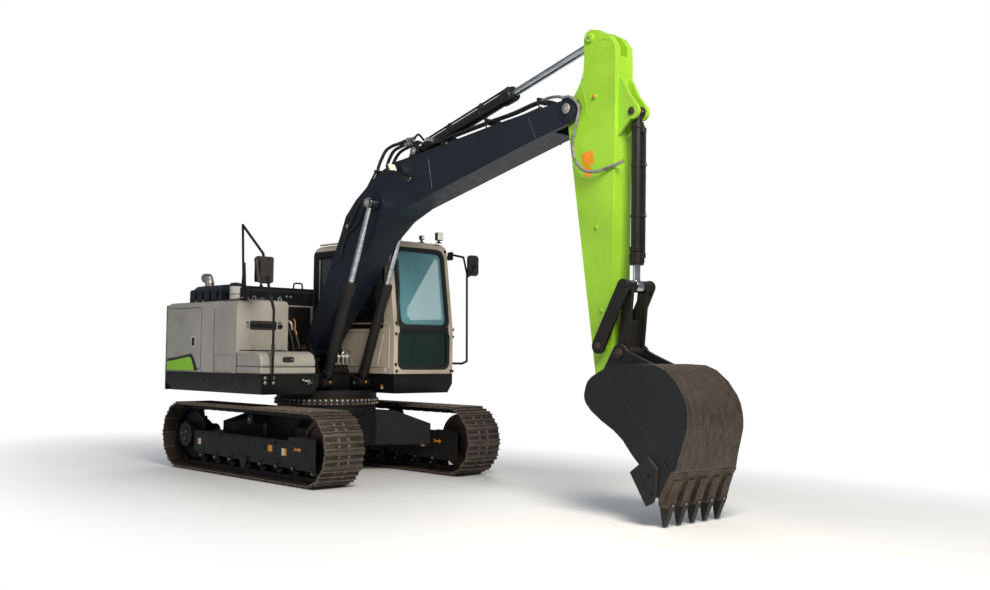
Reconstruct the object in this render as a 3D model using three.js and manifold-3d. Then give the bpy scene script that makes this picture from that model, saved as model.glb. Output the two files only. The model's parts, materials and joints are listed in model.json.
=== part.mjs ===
// Crawler excavator of the 13 tonne class, built as an assembly of named pieces.
// Millimetres; +X points forward along the boom, +Y to the cab side, +Z up.
// It is laid out about the swing axis at ground level and moved at the end so that
// the origin is at the middle of its footprint.
import * as THREE from "three";
import { mergeVertices } from "three/addons/utils/BufferGeometryUtils.js";
import Module from "manifold-3d";

// ---------------------------------------------------------------- driving dimensions

const fit = 0.3;                    // gap between pieces that touch
const clearance = 6;                // gap between pieces that move past each other

// undercarriage
const trackGauge = 1990;            // between the middles of the tracks
const shoeWidth = 500;
const axleDistance = 2736;          // idler axle to sprocket axle
const trackHeight = 810;
const shoeThickness = 30;           // plate and grousers
const chainHeight = 60;
const chainWidth = 160;
const shoeCount = 44;
const trackFrameWidth = 260;
const rollerCount = 7;
const rollerSpacing = 332;
const firstRollerX = -1030;
const bearingRadius = 625;
const bearingBottom = 812;

// upper structure
const deckBottom = 950;
const deckTop = 1182;
const bodyTop = 2030;
const bodyWidth = 2490;
const tailRadius = 2190;
const counterweightFront = -1715;
const wall = 40;                    // body panels with their frames

// boxes on the right-hand deck
const tankFront = -35;
const tankRear = -540;
const tankInner = -553;
const tankTop = 2040;
const toolBoxFront = 502;
const toolBoxInner = -512;
const toolBoxTop = 1437;

// cab
const cabInner = 315;
const cabWidth = 930;
const cabFront = 905;
const cabRear = -800;
const cabTop = 2815;
const cabWall = 55;
const cabWaist = 1722;              // bar between the two windshield panes
const glassThickness = 8;

// working arm, in the vertical plane at boomY
const boomY = -30;
const boomFoot = [-95, 1470];
const boomLength = 4820;
const boomAngle = 28.33;
const boomWidth = 360;
const boomPlate = 14;
const armLength = 2674;
const armAngle = -80.46;
const armWidth = 250;
const armPlate = 12;
const bucketWidth = 880;
const bucketPlate = 25;

// cylinders
const boomCylinder = { barrel: 60, bore: 52, rod: 35, barrelLength: 1270, pistonAt: 850, eye: 62 };
const armCylinder = { barrel: 66, bore: 57, rod: 40, barrelLength: 1560, pistonAt: 1100, eye: 70 };
const bucketCylinder = { barrel: 56, bore: 47, rod: 34, barrelLength: 1400, pistonAt: 400, eye: 56 };
const eyeWidth = 90;
const boomCylinderOffset = 262;     // from the middle of the boom to each cylinder

// ---------------------------------------------------------------- materials

function paint(colour, roughness, metalness) {
  return new THREE.MeshStandardMaterial({ color: colour, roughness, metalness });
}

const shellPaint = paint(0xcfc3ad, 0.45, 0.1);
const darkPaint = paint(0x1f1f20, 0.5, 0.2);
const boomPaint = paint(0x2c3640, 0.45, 0.2);
const armPaint = paint(0x8fc31f, 0.4, 0.1);
const trackSteel = paint(0x4a3c32, 0.8, 0.6);
const bareSteel = paint(0x8a8780, 0.4, 0.9);
const chrome = paint(0xd9dadb, 0.1, 1.0);
const wornSteel = paint(0x5c5046, 0.7, 0.7);
const glass = paint(0x9fd0cc, 0.05, 0.0);
const fabric = paint(0x2a2b2d, 0.9, 0.0);
const lampWhite = paint(0xf2f0e6, 0.2, 0.0);

// ---------------------------------------------------------------- solid helpers

const wasm = await Module();
wasm.setup();

function solid(geometry) {
  const bare = geometry.clone();
  bare.deleteAttribute("normal");
  bare.deleteAttribute("uv");
  const merged = mergeVertices(bare, 1e-3);
  return new wasm.Manifold(new wasm.Mesh({
    numProp: 3,
    vertProperties: new Float32Array(merged.attributes.position.array),
    triVerts: new Uint32Array(merged.index.array),
  }));
}

function geometryOf(body) {
  const mesh = body.getMesh();
  const geometry = new THREE.BufferGeometry();
  geometry.setAttribute("position", new THREE.BufferAttribute(mesh.vertProperties, 3));
  geometry.setIndex(new THREE.BufferAttribute(mesh.triVerts, 1));
  geometry.computeVertexNormals();
  return geometry;
}

function join(...bodies) {
  return bodies.flat().reduce((sum, body) => sum.add(body));
}

function cut(body, ...tools) {
  return tools.flat().reduce((rest, tool) => rest.subtract(tool), body);
}

function box(x0, x1, y0, y1, z0, z1) {
  const geometry = new THREE.BoxGeometry(x1 - x0, y1 - y0, z1 - z0);
  geometry.translate((x0 + x1) / 2, (y0 + y1) / 2, (z0 + z1) / 2);
  return solid(geometry);
}

function shapeOf(points) {
  return new THREE.Shape(points.map(([u, v]) => new THREE.Vector2(u, v)));
}

function extruded(shape, depth) {
  return new THREE.ExtrudeGeometry(shape, { depth, bevelEnabled: false, curveSegments: 6 });
}

// outline in x and z, filled from y0 to y1
function sidePlate(points, y0, y1) {
  const geometry = extruded(shapeOf(points), y1 - y0);
  geometry.rotateX(Math.PI / 2);
  geometry.translate(0, y1, 0);
  return solid(geometry);
}

// outline in x and y, filled from z0 to z1
function floorPlate(points, z0, z1) {
  const geometry = extruded(shapeOf(points), z1 - z0);
  geometry.translate(0, 0, z0);
  return solid(geometry);
}

// outline in y and z, filled from x0 to x1
function frontPlate(points, x0, x1) {
  const geometry = extruded(shapeOf(points), x1 - x0);
  geometry.applyMatrix4(new THREE.Matrix4().makeBasis(
    new THREE.Vector3(0, 1, 0), new THREE.Vector3(0, 0, 1), new THREE.Vector3(1, 0, 0)));
  geometry.translate(x0, 0, 0);
  return solid(geometry);
}

function crossPin(x, z, radius, y0, y1, sides = 16) {
  const geometry = new THREE.CylinderGeometry(radius, radius, y1 - y0, sides);
  geometry.translate(x, (y0 + y1) / 2, z);
  return solid(geometry);
}

// a hole that a pin of the same number of sides turns in without touching
function crossBore(x, z, pinRadius, y0, y1, sides = 16) {
  const radius = (pinRadius + fit) / Math.cos(Math.PI / sides);
  return crossPin(x, z, radius, y0, y1, sides);
}

function upright(x, y, radius, z0, z1, sides = 24) {
  const geometry = new THREE.CylinderGeometry(radius, radius, z1 - z0, sides);
  geometry.rotateX(Math.PI / 2);
  geometry.translate(x, y, (z0 + z1) / 2);
  return solid(geometry);
}

function alongX(radius, x0, x1, sides = 16) {
  const geometry = new THREE.CylinderGeometry(radius, radius, x1 - x0, sides);
  geometry.rotateZ(Math.PI / 2);
  geometry.translate((x0 + x1) / 2, 0, 0);
  return solid(geometry);
}

// a bent rod: straight lengths that run a little past each bend
function rod(points, radius, sides = 6) {
  const corners = points.map((point) => new THREE.Vector3(...point));
  const pieces = [];
  const last = corners.length - 2;
  for (let i = 0; i <= last; i += 1) {
    const run = corners[i + 1].clone().sub(corners[i]);
    const along = run.clone().normalize();
    const start = corners[i].clone().addScaledVector(along, i > 0 ? -radius * 0.4 : 0);
    const end = corners[i + 1].clone().addScaledVector(along, i < last ? radius * 0.4 : 0);
    const length = new THREE.CylinderGeometry(radius, radius, start.distanceTo(end), sides);
    length.applyQuaternion(new THREE.Quaternion().setFromUnitVectors(new THREE.Vector3(0, 1, 0), along));
    length.translate(...start.add(end).multiplyScalar(0.5).toArray());
    pieces.push(solid(length));
  }
  return join(pieces);
}

// the outline moved inwards by a distance, for outlines that run anticlockwise
function inset(points, distance) {
  const count = points.length;
  return points.map((point, i) => {
    const before = points[(i + count - 1) % count];
    const after = points[(i + 1) % count];
    const a = new THREE.Vector2(point[0] - before[0], point[1] - before[1]).normalize();
    const b = new THREE.Vector2(after[0] - point[0], after[1] - point[1]).normalize();
    const normal = new THREE.Vector2(-a.y - b.y, a.x + b.x).normalize();
    const reach = distance / Math.max(0.5, normal.dot(new THREE.Vector2(-a.y, a.x)));
    return [point[0] + normal.x * reach, point[1] + normal.y * reach];
  });
}

function arc(cx, cy, radius, from, to, steps) {
  const points = [];
  for (let i = 0; i <= steps; i += 1) {
    const angle = THREE.MathUtils.degToRad(from + (to - from) * i / steps);
    points.push([cx + radius * Math.cos(angle), cy + radius * Math.sin(angle)]);
  }
  return points;
}

// ---------------------------------------------------------------- assembly helpers

const machine = new THREE.Group();

function place(parent, name, body, material) {
  const mesh = new THREE.Mesh(geometryOf(body), material);
  mesh.name = name;
  parent.add(mesh);
  return mesh;
}

// a group whose own x axis leaves a pin at an angle above the horizontal
function frameAt([x, z], angle, y = boomY) {
  const group = new THREE.Group();
  group.position.set(x, y, z);
  group.rotation.y = -THREE.MathUtils.degToRad(angle);
  machine.add(group);
  return group;
}

function fromFrame([x, z], angle, [u, v]) {
  const turn = THREE.MathUtils.degToRad(angle);
  return [
    x + u * Math.cos(turn) - v * Math.sin(turn),
    z + u * Math.sin(turn) + v * Math.cos(turn),
  ];
}

// ---------------------------------------------------------------- pins of the working arm

// each in its own member's frame: x along the member, z square to it
const boomCylinderOnBoom = [1935, 840];
const armCylinderOnBoom = [2670, 1070];
const armCylinderOnArm = [-600, 330];
const bucketCylinderOnArm = [225, 670];
const idlerOnArm = [armLength - 394, 25];
const linkOnBucket = [180, 325];
const idlerTop = [armLength - 879, 395];
const boomCylinderOnDeck = [378, 1068];
const bucketPin = [armLength, 0];

const armPivot = fromFrame(boomFoot, boomAngle, [boomLength, 0]);
const bucketPivot = fromFrame(armPivot, armAngle, bucketPin);

// ---------------------------------------------------------------- undercarriage

// a point on the loop's outline, at a share of the way round and a radius at its ends
function loopPoint(share, radius) {
  const axle = trackHeight / 2;
  const half = axleDistance / 2;
  const pitchRadius = axle - shoeThickness;
  const bend = Math.PI * pitchRadius;
  let way = share * 2 * (axleDistance + bend);
  if (way < axleDistance) {
    return [-half + way, axle - radius];
  }
  way -= axleDistance;
  if (way < bend) {
    const angle = -Math.PI / 2 + way / pitchRadius;
    return [half + radius * Math.cos(angle), axle + radius * Math.sin(angle)];
  }
  way -= bend;
  if (way < axleDistance) {
    return [half - way, axle + radius];
  }
  const angle = Math.PI / 2 + (way - axleDistance) / pitchRadius;
  return [-half + radius * Math.cos(angle), axle + radius * Math.sin(angle)];
}

const loopSteps = 2 * shoeCount;

function loopOutline(radius) {
  return Array.from({ length: loopSteps }, (_, i) => loopPoint(i / loopSteps, radius));
}

function ring(outer, inner, y0, y1) {
  return cut(sidePlate(outer, y0, y1), sidePlate(inner, y0 - 1, y1 + 1));
}

const chainOuter = trackHeight / 2 - shoeThickness;
const chainInner = chainOuter - chainHeight;
const loopStepAngle = (axleDistance + Math.PI * chainOuter) / shoeCount / chainOuter;
const wheelRadius = chainInner * Math.cos(loopStepAngle / 2) - fit;

function trackLoop() {
  const shoes = [];
  for (let i = 0; i < shoeCount; i += 1) {
    shoes.push(loopPoint((i + 0.06) / shoeCount, trackHeight / 2));
    shoes.push(loopPoint((i + 0.9) / shoeCount, trackHeight / 2));
    shoes.push(loopPoint((i + 0.98) / shoeCount, trackHeight / 2 - shoeThickness * 0.6));
  }
  const plates = ring(shoes, loopOutline(chainOuter), -shoeWidth / 2, shoeWidth / 2);
  const chain = ring(loopOutline(chainOuter + 4), loopOutline(chainInner), -chainWidth / 2, chainWidth / 2);
  return join(plates, chain);
}

const axleHeight = trackHeight / 2;
const rollerRadius = 78;
const frameTop = 468;
const frameBottom = 205;
const idlerX = axleDistance / 2;
const frameRear = 188 - idlerX;
const frameNose = idlerX + 62;
const idlerWidth = 100;
const hubRadius = 150;

// the side beam with its rollers, carrier roller and idler fork; side is +1 where the
// outer face looks to +y and -1 where it looks to -y
function trackFrame(side) {
  const half = trackFrameWidth / 2;
  const plate = 16;
  const outline = [
    [frameRear, frameBottom + 30], [318 - idlerX, frameBottom], [idlerX - 318, 170], [frameNose, 160],
    [frameNose, 520], [idlerX - 308, 520], [idlerX - 408, frameTop], [frameRear, frameTop],
  ];
  const cheeks = cut(
    sidePlate(outline, -half, half),
    sidePlate([[68 - idlerX, 60], [idlerX + 232, 60], [idlerX + 232, 640], [idlerX - 368, 640],
      [idlerX - 368, 400], [68 - idlerX, 400]], plate - half, half - plate),
  );
  const rollerHeight = axleHeight - chainInner + fit + rollerRadius;
  const rollers = [];
  for (let i = 0; i < rollerCount; i += 1) {
    const x = firstRollerX + i * rollerSpacing;
    rollers.push(crossPin(x, rollerHeight, rollerRadius, 6 - chainWidth / 2, chainWidth / 2 - 6, 12));
    rollers.push(crossPin(x, rollerHeight + 20, 34, -half + 2, half - 2, 6));
  }
  const carrierHeight = axleHeight + chainInner - fit - 60;
  const carrier = [
    crossPin(70, carrierHeight, 60, -70, 70, 12),
    crossPin(70, carrierHeight, 26, -118, 118, 8),
    box(30, 110, Math.min(-side * 120, -side * 90), Math.max(-side * 120, -side * 90), frameTop - 20, carrierHeight + 30),
  ];
  const bracketOuter = -side * half;
  const bracketInner = -side * (half - 34);
  const driveBracket = sidePlate(
    [[368 - idlerX, 240], [368 - idlerX, 440], ...arc(-axleDistance / 2, axleHeight, 190, 60, 300, 12)],
    Math.min(bracketOuter, bracketInner), Math.max(bracketOuter, bracketInner));
  const idlerAxle = crossPin(axleDistance / 2, axleHeight, 45, -half + 2, half - 2, 16);
  const driveBore = crossPin(-axleDistance / 2, axleHeight, hubRadius - 30 + fit, -300, 300, 24);
  const driveRoom = crossPin(-axleDistance / 2, axleHeight, chainInner + clearance, -60, 60, 32);
  return join(cut(cheeks, driveRoom), rollers, carrier, cut(driveBracket, driveBore), idlerAxle);
}

// toothed drive ring with its hub cover and, inboard, the travel motor
function sprocket(side) {
  const teeth = 21;
  const outline = [];
  for (let i = 0; i < teeth; i += 1) {
    const at = i * 360 / teeth;
    outline.push(...arc(0, 0, chainInner - 34, at, at + 0.34 * 360 / teeth, 1));
    outline.push(...arc(0, 0, wheelRadius, at + 0.5 * 360 / teeth, at + 0.84 * 360 / teeth, 1));
  }
  const disc = sidePlate(outline, -28, 28);
  const outerEnd = side * (trackFrameWidth / 2 + 12);
  const innerEnd = -side * (trackFrameWidth / 2 + 150);
  const hub = crossPin(0, 0, hubRadius, Math.min(0, outerEnd), Math.max(0, outerEnd), 24);
  const gearbox = crossPin(0, 0, hubRadius - 30, Math.min(0, innerEnd), Math.max(0, innerEnd), 24);
  return join(disc, hub, gearbox);
}

function idler() {
  const rim = crossPin(0, 0, wheelRadius, -idlerWidth / 2, idlerWidth / 2, 32);
  const recess = [1, -1].map((side) => cut(
    crossPin(0, 0, chainInner - 60, Math.min(side * 22, side * 60), Math.max(side * 22, side * 60), 24),
    crossPin(0, 0, 90, -70, 70, 16)));
  return cut(rim, recess, crossBore(0, 0, 45, -80, 80, 16));
}

function carBody() {
  const legEnd = trackGauge / 2 - trackFrameWidth / 2 - fit;
  const elevation = [
    [-legEnd, 330], [legEnd, 330], [legEnd, 585], [520, 740], [-520, 740], [-legEnd, 585],
  ];
  const quarter = [[950, legEnd + 5], [640, legEnd + 5], [380, 560]];
  const plan = [
    ...quarter,
    ...quarter.slice().reverse().map(([x, y]) => [-x, y]),
    [-560, 330], [-560, -330],
    ...quarter.map(([x, y]) => [-x, -y]),
    ...quarter.slice().reverse().map(([x, y]) => [x, -y]),
    [560, -330], [560, 330],
  ];
  const frame = floorPlate(plan, 300, 800).intersect(frontPlate(elevation, -1000, 1000));
  const hollow = floorPlate(inset(plan, 30), 250, 700).intersect(frontPlate(inset(elevation, 24), -1000, 1000));
  const openings = [
    box(-330, 330, -300, 300, 250, 420),
    upright(0, 0, 330, 600, 900, 24),
  ];
  const seat = cut(upright(0, 0, bearingRadius - 30, 690, bearingBottom - fit, 32), upright(0, 0, 430, 600, 900, 24));
  return join(cut(frame, hollow, openings), seat);
}

function buildUndercarriage() {
  place(machine, "car_body", carBody(), darkPaint);
  const race = cut(
    upright(0, 0, bearingRadius, bearingBottom, deckBottom - 62, 32),
    upright(0, 0, bearingRadius - 110, bearingBottom - 5, deckBottom, 24));
  place(machine, "swing_bearing", race, bareSteel);
  for (const [side, hand] of [[-1, "right"], [1, "left"]]) {
    const y = side * trackGauge / 2;
    const frame = place(machine, `track_frame_${hand}`, trackFrame(side), darkPaint);
    const track = place(machine, `track_${hand}`, trackLoop(), trackSteel);
    const drive = place(machine, `sprocket_${hand}`, sprocket(side), darkPaint);
    const wheel = place(machine, `idler_${hand}`, idler(), darkPaint);
    frame.position.y = y;
    track.position.y = y;
    drive.position.set(-axleDistance / 2, y, axleHeight);
    wheel.position.set(axleDistance / 2, y, axleHeight);
  }
}

// ---------------------------------------------------------------- revolving frame

const half = bodyWidth / 2;
const notchRear = 250;              // the deck's front edge between the step and the cab
const notchRight = -470;
const notchLeft = cabInner + 15;
const footInner = boomWidth / 2 + 15;
const footPlate = 40;
const boomPinRadius = 40;
const cylinderPinRadius = 32;

function deckPlan() {
  return [
    [counterweightFront + fit, -half], [toolBoxFront, -half], [toolBoxFront, notchRight], [notchRear, notchRight],
    [notchRear, notchLeft], [cabFront - 5, notchLeft], [cabFront - 5, half], [counterweightFront + fit, half],
  ];
}

function revolvingFrame() {
  const plan = deckPlan();
  const bevel = 110;
  const skirt = new THREE.ExtrudeGeometry(shapeOf(inset(plan, 40)), {
    depth: deckTop - deckBottom, bevelEnabled: true, bevelThickness: bevel, bevelSize: 40,
    bevelOffset: 0, bevelSegments: 1, steps: 1,
  });
  skirt.translate(0, 0, deckBottom + bevel);
  const deck = cut(solid(skirt), box(-3000, 2000, -2000, 2000, deckTop - fit / 2, deckTop + 500),
    box(-3000, counterweightFront + fit, -2000, 2000, 0, 3000));
  const pockets = [
    box(counterweightFront + 60, toolBoxFront - 70, 70 - half, notchRight - 60, deckBottom - 10, deckTop - wall),
    box(counterweightFront + 60, cabFront - 75, notchLeft + 60, half - 70, deckBottom - 10, deckTop - wall),
    box(counterweightFront + 60, -760, notchRight + 80, notchLeft - 80, deckBottom - 10, deckTop - wall),
  ];
  const race = upright(0, 0, bearingRadius - 20, deckBottom - 62 + fit, deckBottom + 30, 32);
  const plates = [];
  for (const side of [1, -1]) {
    const inner = boomY + side * footInner;
    const outer = inner + side * footPlate;
    const [x, z] = boomFoot;
    const outline = [
      [x - 520, deckTop - 20], [x + 290, deckTop - 20],
      ...arc(x, z, 105, 10, 150, 8),
    ];
    plates.push(sidePlate(outline, Math.min(inner, outer), Math.max(inner, outer)));
  }
  const ears = [];
  for (const side of [1, -1]) {
    const middle = boomY + side * boomCylinderOffset;
    const [x, z] = boomCylinderOnDeck;
    for (const cheek of [1, -1]) {
      const a = middle + cheek * (eyeWidth / 2 + 5);
      const b = a + cheek * 28;
      const outline = [[notchRear - 20, z - 90], ...arc(x, z, 74, -80, 80, 8), [notchRear - 20, z + 90]];
      ears.push(sidePlate(outline, Math.min(a, b), Math.max(a, b)));
    }
    ears.push(crossPin(x, z, cylinderPinRadius, middle - eyeWidth / 2 - 36, middle + eyeWidth / 2 + 36));
  }
  const pin = crossPin(boomFoot[0], boomFoot[1], boomPinRadius,
    boomY - footInner - footPlate - 10, boomY + footInner + footPlate + 10);
  return join(cut(deck, pockets), race, plates, ears, pin);
}

function counterweight() {
  const corner = Math.min(half, Math.sqrt(tailRadius ** 2 - counterweightFront ** 2) - 1);
  const edge = THREE.MathUtils.radToDeg(Math.atan2(corner, -Math.sqrt(tailRadius ** 2 - corner ** 2)));
  const plan = [
    [counterweightFront, corner],
    ...arc(0, 0, tailRadius, edge + 1.5, 360 - edge - 1.5, 20),
    [counterweightFront, -corner],
  ];
  const body = floorPlate(plan, deckBottom, bodyTop - 30);
  const profile = [
    [-tailRadius - 10, deckBottom + 120], [-tailRadius + 60, deckBottom - 1], [counterweightFront + 10, deckBottom - 1],
    [counterweightFront + 10, bodyTop], [-tailRadius + 130, bodyTop], [-tailRadius - 10, bodyTop - 170],
  ];
  return body.intersect(sidePlate(profile, -half - 10, half + 10));
}

// ---------------------------------------------------------------- engine house

const houseFront = cabRear - 32;    // front wall behind the cab and the boom
const houseRear = counterweightFront + fit;
const pumpRoomInner = -430;
const doorSill = deckTop + 40;
const doorHead = bodyTop - 70;
const doorFront = -860;
const doorRear = houseRear + 42;
const hoodFront = -880;
const hoodRear = -1610;
const hoodHalf = 1010;
const hoodTop = 2250;

function house() {
  const plan = [
    [houseRear, -half], [tankRear - 5, -half], [tankRear - 5, pumpRoomInner], [houseFront, pumpRoomInner],
    [houseFront, half], [houseRear, half],
  ];
  const bottom = deckTop + fit;
  const crown = [
    [-half, bottom], [half, bottom], [half, bodyTop - 70], [half - 22, bodyTop - 20], [half - 70, bodyTop],
    [70 - half, bodyTop], [22 - half, bodyTop - 20], [-half, bodyTop - 70],
  ];
  const outer = floorPlate(plan, bottom, bodyTop).intersect(frontPlate(crown, -3000, 1000));
  const inner = floorPlate(inset(plan, wall), bottom - 10, bodyTop - wall)
    .intersect(frontPlate(inset(crown, wall).map(([y, z]) => [y, z < 1500 ? 0 : z]), -3000, 1000));
  const openings = [
    box(hoodRear + 50, hoodFront - 50, 60 - hoodHalf, hoodHalf - 60, bodyTop - 100, bodyTop + 50),
    box(doorRear, doorFront, -half - 10, -half + 100, doorSill, doorHead),
    box(doorRear, doorFront, half - 100, half + 10, doorSill, doorHead),
  ];
  return cut(outer, inner, openings);
}

// side is +1 for the left-hand door and -1 for the right-hand one; hinged along its rear edge
function serviceDoor(side) {
  const across = (a, b) => [Math.min(side * a, side * b), Math.max(side * a, side * b)];
  const skin = box(doorRear + fit, doorFront - clearance, ...across(half - wall, half), doorSill + clearance,
    doorHead - clearance);
  const dish = box(doorRear + 60, doorFront - 60, ...across(half - wall - 10, half - 14), doorSill + 60, doorHead - 60);
  return cut(skin, dish);
}

function engineHood() {
  const sides = [
    [-hoodHalf, bodyTop + fit], [hoodHalf, bodyTop + fit], [hoodHalf - 30, hoodTop - 60], [hoodHalf - 80, hoodTop],
    [80 - hoodHalf, hoodTop], [30 - hoodHalf, hoodTop - 60],
  ];
  const profile = [
    [hoodRear, bodyTop + fit], [hoodFront, bodyTop + fit], [hoodFront - 15, hoodTop - 50], [hoodFront - 60, hoodTop],
    [hoodRear + 60, hoodTop], [hoodRear + 15, hoodTop - 50],
  ];
  const outer = frontPlate(sides, hoodRear - 10, hoodFront + 10).intersect(sidePlate(profile, -hoodHalf - 10, hoodHalf + 10));
  const inner = frontPlate(inset(sides, 25).map(([y, z]) => [y, z < bodyTop + 60 ? bodyTop - 50 : z]),
    hoodRear - 10, hoodFront + 10)
    .intersect(sidePlate(inset(profile, 25).map(([x, z]) => [x, z < bodyTop + 60 ? bodyTop - 50 : z]),
      -hoodHalf - 10, hoodHalf + 10));
  return cut(outer, inner);
}

function exhaustPipe() {
  return rod([[-1300, -840, hoodTop + fit], [-1300, -840, hoodTop + 60], [-1340, -880, hoodTop + 110],
    [-1410, -950, hoodTop + 120]], 42, 10);
}

// ---------------------------------------------------------------- boxes on the right-hand deck

function fuelTank() {
  const bottom = deckTop + fit;
  const profile = [
    [tankRear, bottom], [tankFront, bottom], [tankFront, tankTop - 60], [tankFront - 20, tankTop - 18],
    [tankFront - 70, tankTop], [tankRear, tankTop - 8],
  ];
  const front = [
    [-half, bottom - 5], [tankInner, bottom - 5], [tankInner, tankTop - 20], [tankInner - 20, tankTop + 5],
    [100 - half, tankTop + 5], [30 - half, tankTop - 30], [-half, tankTop - 100],
  ];
  const body = sidePlate(profile, -half - 5, tankInner + 5).intersect(frontPlate(front, tankRear - 5, tankFront + 5));
  const hollow = box(tankRear + 40, tankFront - 45, 45 - half, tankInner - 40, bottom + 60, tankTop - 110);
  const filler = upright(tankRear + 150, -800, 70, bottom + 200, tankTop + 40, 20);
  const grip = box(tankFront - 30, tankFront + 5, -1120, -640, 1700, 1780);
  return cut(body, hollow, filler, grip);
}

const toolBoxRear = tankFront + 6;
const toolWall = 30;

function toolBoxProfile() {
  return [
    [toolBoxRear, deckTop + fit], [toolBoxFront, deckTop + fit], [toolBoxFront, toolBoxTop - 110],
    [toolBoxFront - 35, toolBoxTop - 35], [toolBoxFront - 110, toolBoxTop], [toolBoxRear, toolBoxTop],
  ];
}

const lidSeam = toolBoxTop - 175;

function toolBox() {
  const body = sidePlate(toolBoxProfile(), -half, toolBoxInner);
  const hollow = box(toolBoxRear + toolWall, toolBoxFront - toolWall - 20, toolWall - half, toolBoxInner - toolWall,
    deckTop + 40, toolBoxTop + 50);
  return cut(body, hollow, box(toolBoxRear - 5, toolBoxFront + 5, -half - 5, toolBoxInner + 5, lidSeam, toolBoxTop + 50));
}

function toolBoxLid() {
  const shell = sidePlate(toolBoxProfile(), -half, toolBoxInner)
    .intersect(box(toolBoxRear - 5, toolBoxFront + 5, -half - 5, toolBoxInner + 5, lidSeam + fit, toolBoxTop + 50));
  const hollow = sidePlate(inset(toolBoxProfile(), toolWall), toolWall - half, toolBoxInner - toolWall)
    .intersect(box(-100, 1000, -2000, 0, 0, toolBoxTop));
  return cut(shell, hollow);
}

// ---------------------------------------------------------------- cab

const cabOuter = cabInner + cabWidth;
const cabFloor = deckTop + fit;

function cabProfile() {
  return [
    [cabRear, cabFloor], [cabFront, cabFloor], [cabFront, cabWaist], [cabFront - 145, cabTop - 50],
    [cabFront - 190, cabTop - 12], [cabFront - 300, cabTop], [cabRear + 100, cabTop], [cabRear + 25, cabTop - 30],
    [cabRear, cabTop - 100],
  ];
}

function cabElevation() {
  return [
    [cabInner, cabFloor], [cabOuter, cabFloor], [cabOuter, cabTop - 130], [cabOuter - 20, cabTop - 60],
    [cabOuter - 60, cabTop - 20], [cabOuter - 130, cabTop], [cabInner + 130, cabTop], [cabInner + 60, cabTop - 20],
    [cabInner + 20, cabTop - 60], [cabInner, cabTop - 130],
  ];
}

function cabBody(depth) {
  return sidePlate(inset(cabProfile(), depth), cabInner - 1, cabOuter + 1)
    .intersect(frontPlate(inset(cabElevation(), depth), cabRear - 1, cabFront + 1));
}

const windows = {
  windshield: [cabFront - 260, cabFront + 50, cabInner + 75, cabOuter - 75, cabWaist + 25, cabTop - 110],
  lowerPane: [cabFront - 120, cabFront + 50, cabInner + 95, cabOuter - 95, cabFloor + 70, cabWaist - 25],
  right: [cabRear + 130, cabFront - 230, cabInner - 50, cabInner + 100, 1850, cabTop - 170],
  rear: [cabRear - 50, cabRear + 100, cabInner + 110, cabOuter - 110, 2080, cabTop - 170],
  leftRear: [cabRear + 110, -150, cabOuter - 100, cabOuter + 50, 1900, cabTop - 170],
  roof: [-150, 480, cabInner + 190, cabOuter - 190, cabTop - 100, cabTop + 50],
};
const doorOpening = { rear: -75, front: cabFront - 72, sill: cabFloor + 60, head: cabTop - 120 };

function leanOfPillar(z) {
  return Math.max(0, z - cabWaist) * 145 / (cabTop - 50 - cabWaist);
}

// the door's outline follows the leaning front pillar
function doorOutline(gap, hingeGap) {
  const { rear, front, sill, head } = doorOpening;
  return [
    [rear + hingeGap, sill + gap], [front - gap, sill + gap], [front - gap, cabWaist],
    [front - gap - leanOfPillar(head - 60), head - 60 - gap], [front - gap - leanOfPillar(head) - 50, head - gap],
    [rear + hingeGap, head - gap],
  ];
}

function cabShell() {
  const openings = Object.values(windows).map((limits) => box(...limits));
  const doorway = sidePlate(doorOutline(0, 0), cabOuter - 120, cabOuter + 60);
  return cut(cabBody(0), cabBody(cabWall), openings, doorway);
}

// glass set in a window of the shell, following its outer surface
function pane(limits, depth) {
  const [x0, x1, y0, y1, z0, z1] = limits;
  const sheet = cut(cabBody(depth), cabBody(depth + glassThickness));
  return sheet.intersect(box(x0 + fit, x1 - fit, y0 + fit, y1 - fit, z0 + fit, z1 - fit));
}

const doorThickness = 45;
const doorGlass = { rear: doorOpening.rear + 75, front: doorOpening.front - 75, sill: 1860, head: doorOpening.head - 75 };

function doorGlassOutline(gap) {
  const { rear, front, sill, head } = doorGlass;
  return [
    [rear + gap, sill + gap], [front - gap - leanOfPillar(sill), sill + gap],
    [front - gap - leanOfPillar(head), head - gap], [rear + gap, head - gap],
  ];
}

function cabDoor() {
  const leaf = sidePlate(doorOutline(clearance, fit), cabOuter - doorThickness, cabOuter);
  const light = sidePlate(doorGlassOutline(0), cabOuter - 100, cabOuter + 10);
  const dish = box(doorOpening.rear + 60, doorOpening.front - 60, cabOuter - 100, cabOuter - 16, cabFloor + 130, 1800);
  return cut(leaf, light, dish);
}

function doorPane() {
  return sidePlate(doorGlassOutline(fit), cabOuter - 30 - glassThickness, cabOuter - 30);
}

const seatMiddle = cabInner + cabWidth / 2 - 10;

function seatBase() {
  const floor = cabFloor + cabWall + fit;
  const pedestal = box(-420, 40, seatMiddle - 210, seatMiddle + 210, floor, floor + 240);
  const consoles = [1, -1].map((side) => join(
    box(-380, 160, seatMiddle + side * 290 - 55, seatMiddle + side * 290 + 55, floor + 60, floor + 480),
    box(-380, 0, Math.min(seatMiddle + side * 200, seatMiddle + side * 300),
      Math.max(seatMiddle + side * 200, seatMiddle + side * 300), floor + 60, floor + 140),
    rod([[95, seatMiddle + side * 290, floor + 470], [85, seatMiddle + side * 285, floor + 700]], 24)));
  return join(pedestal, consoles);
}

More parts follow.
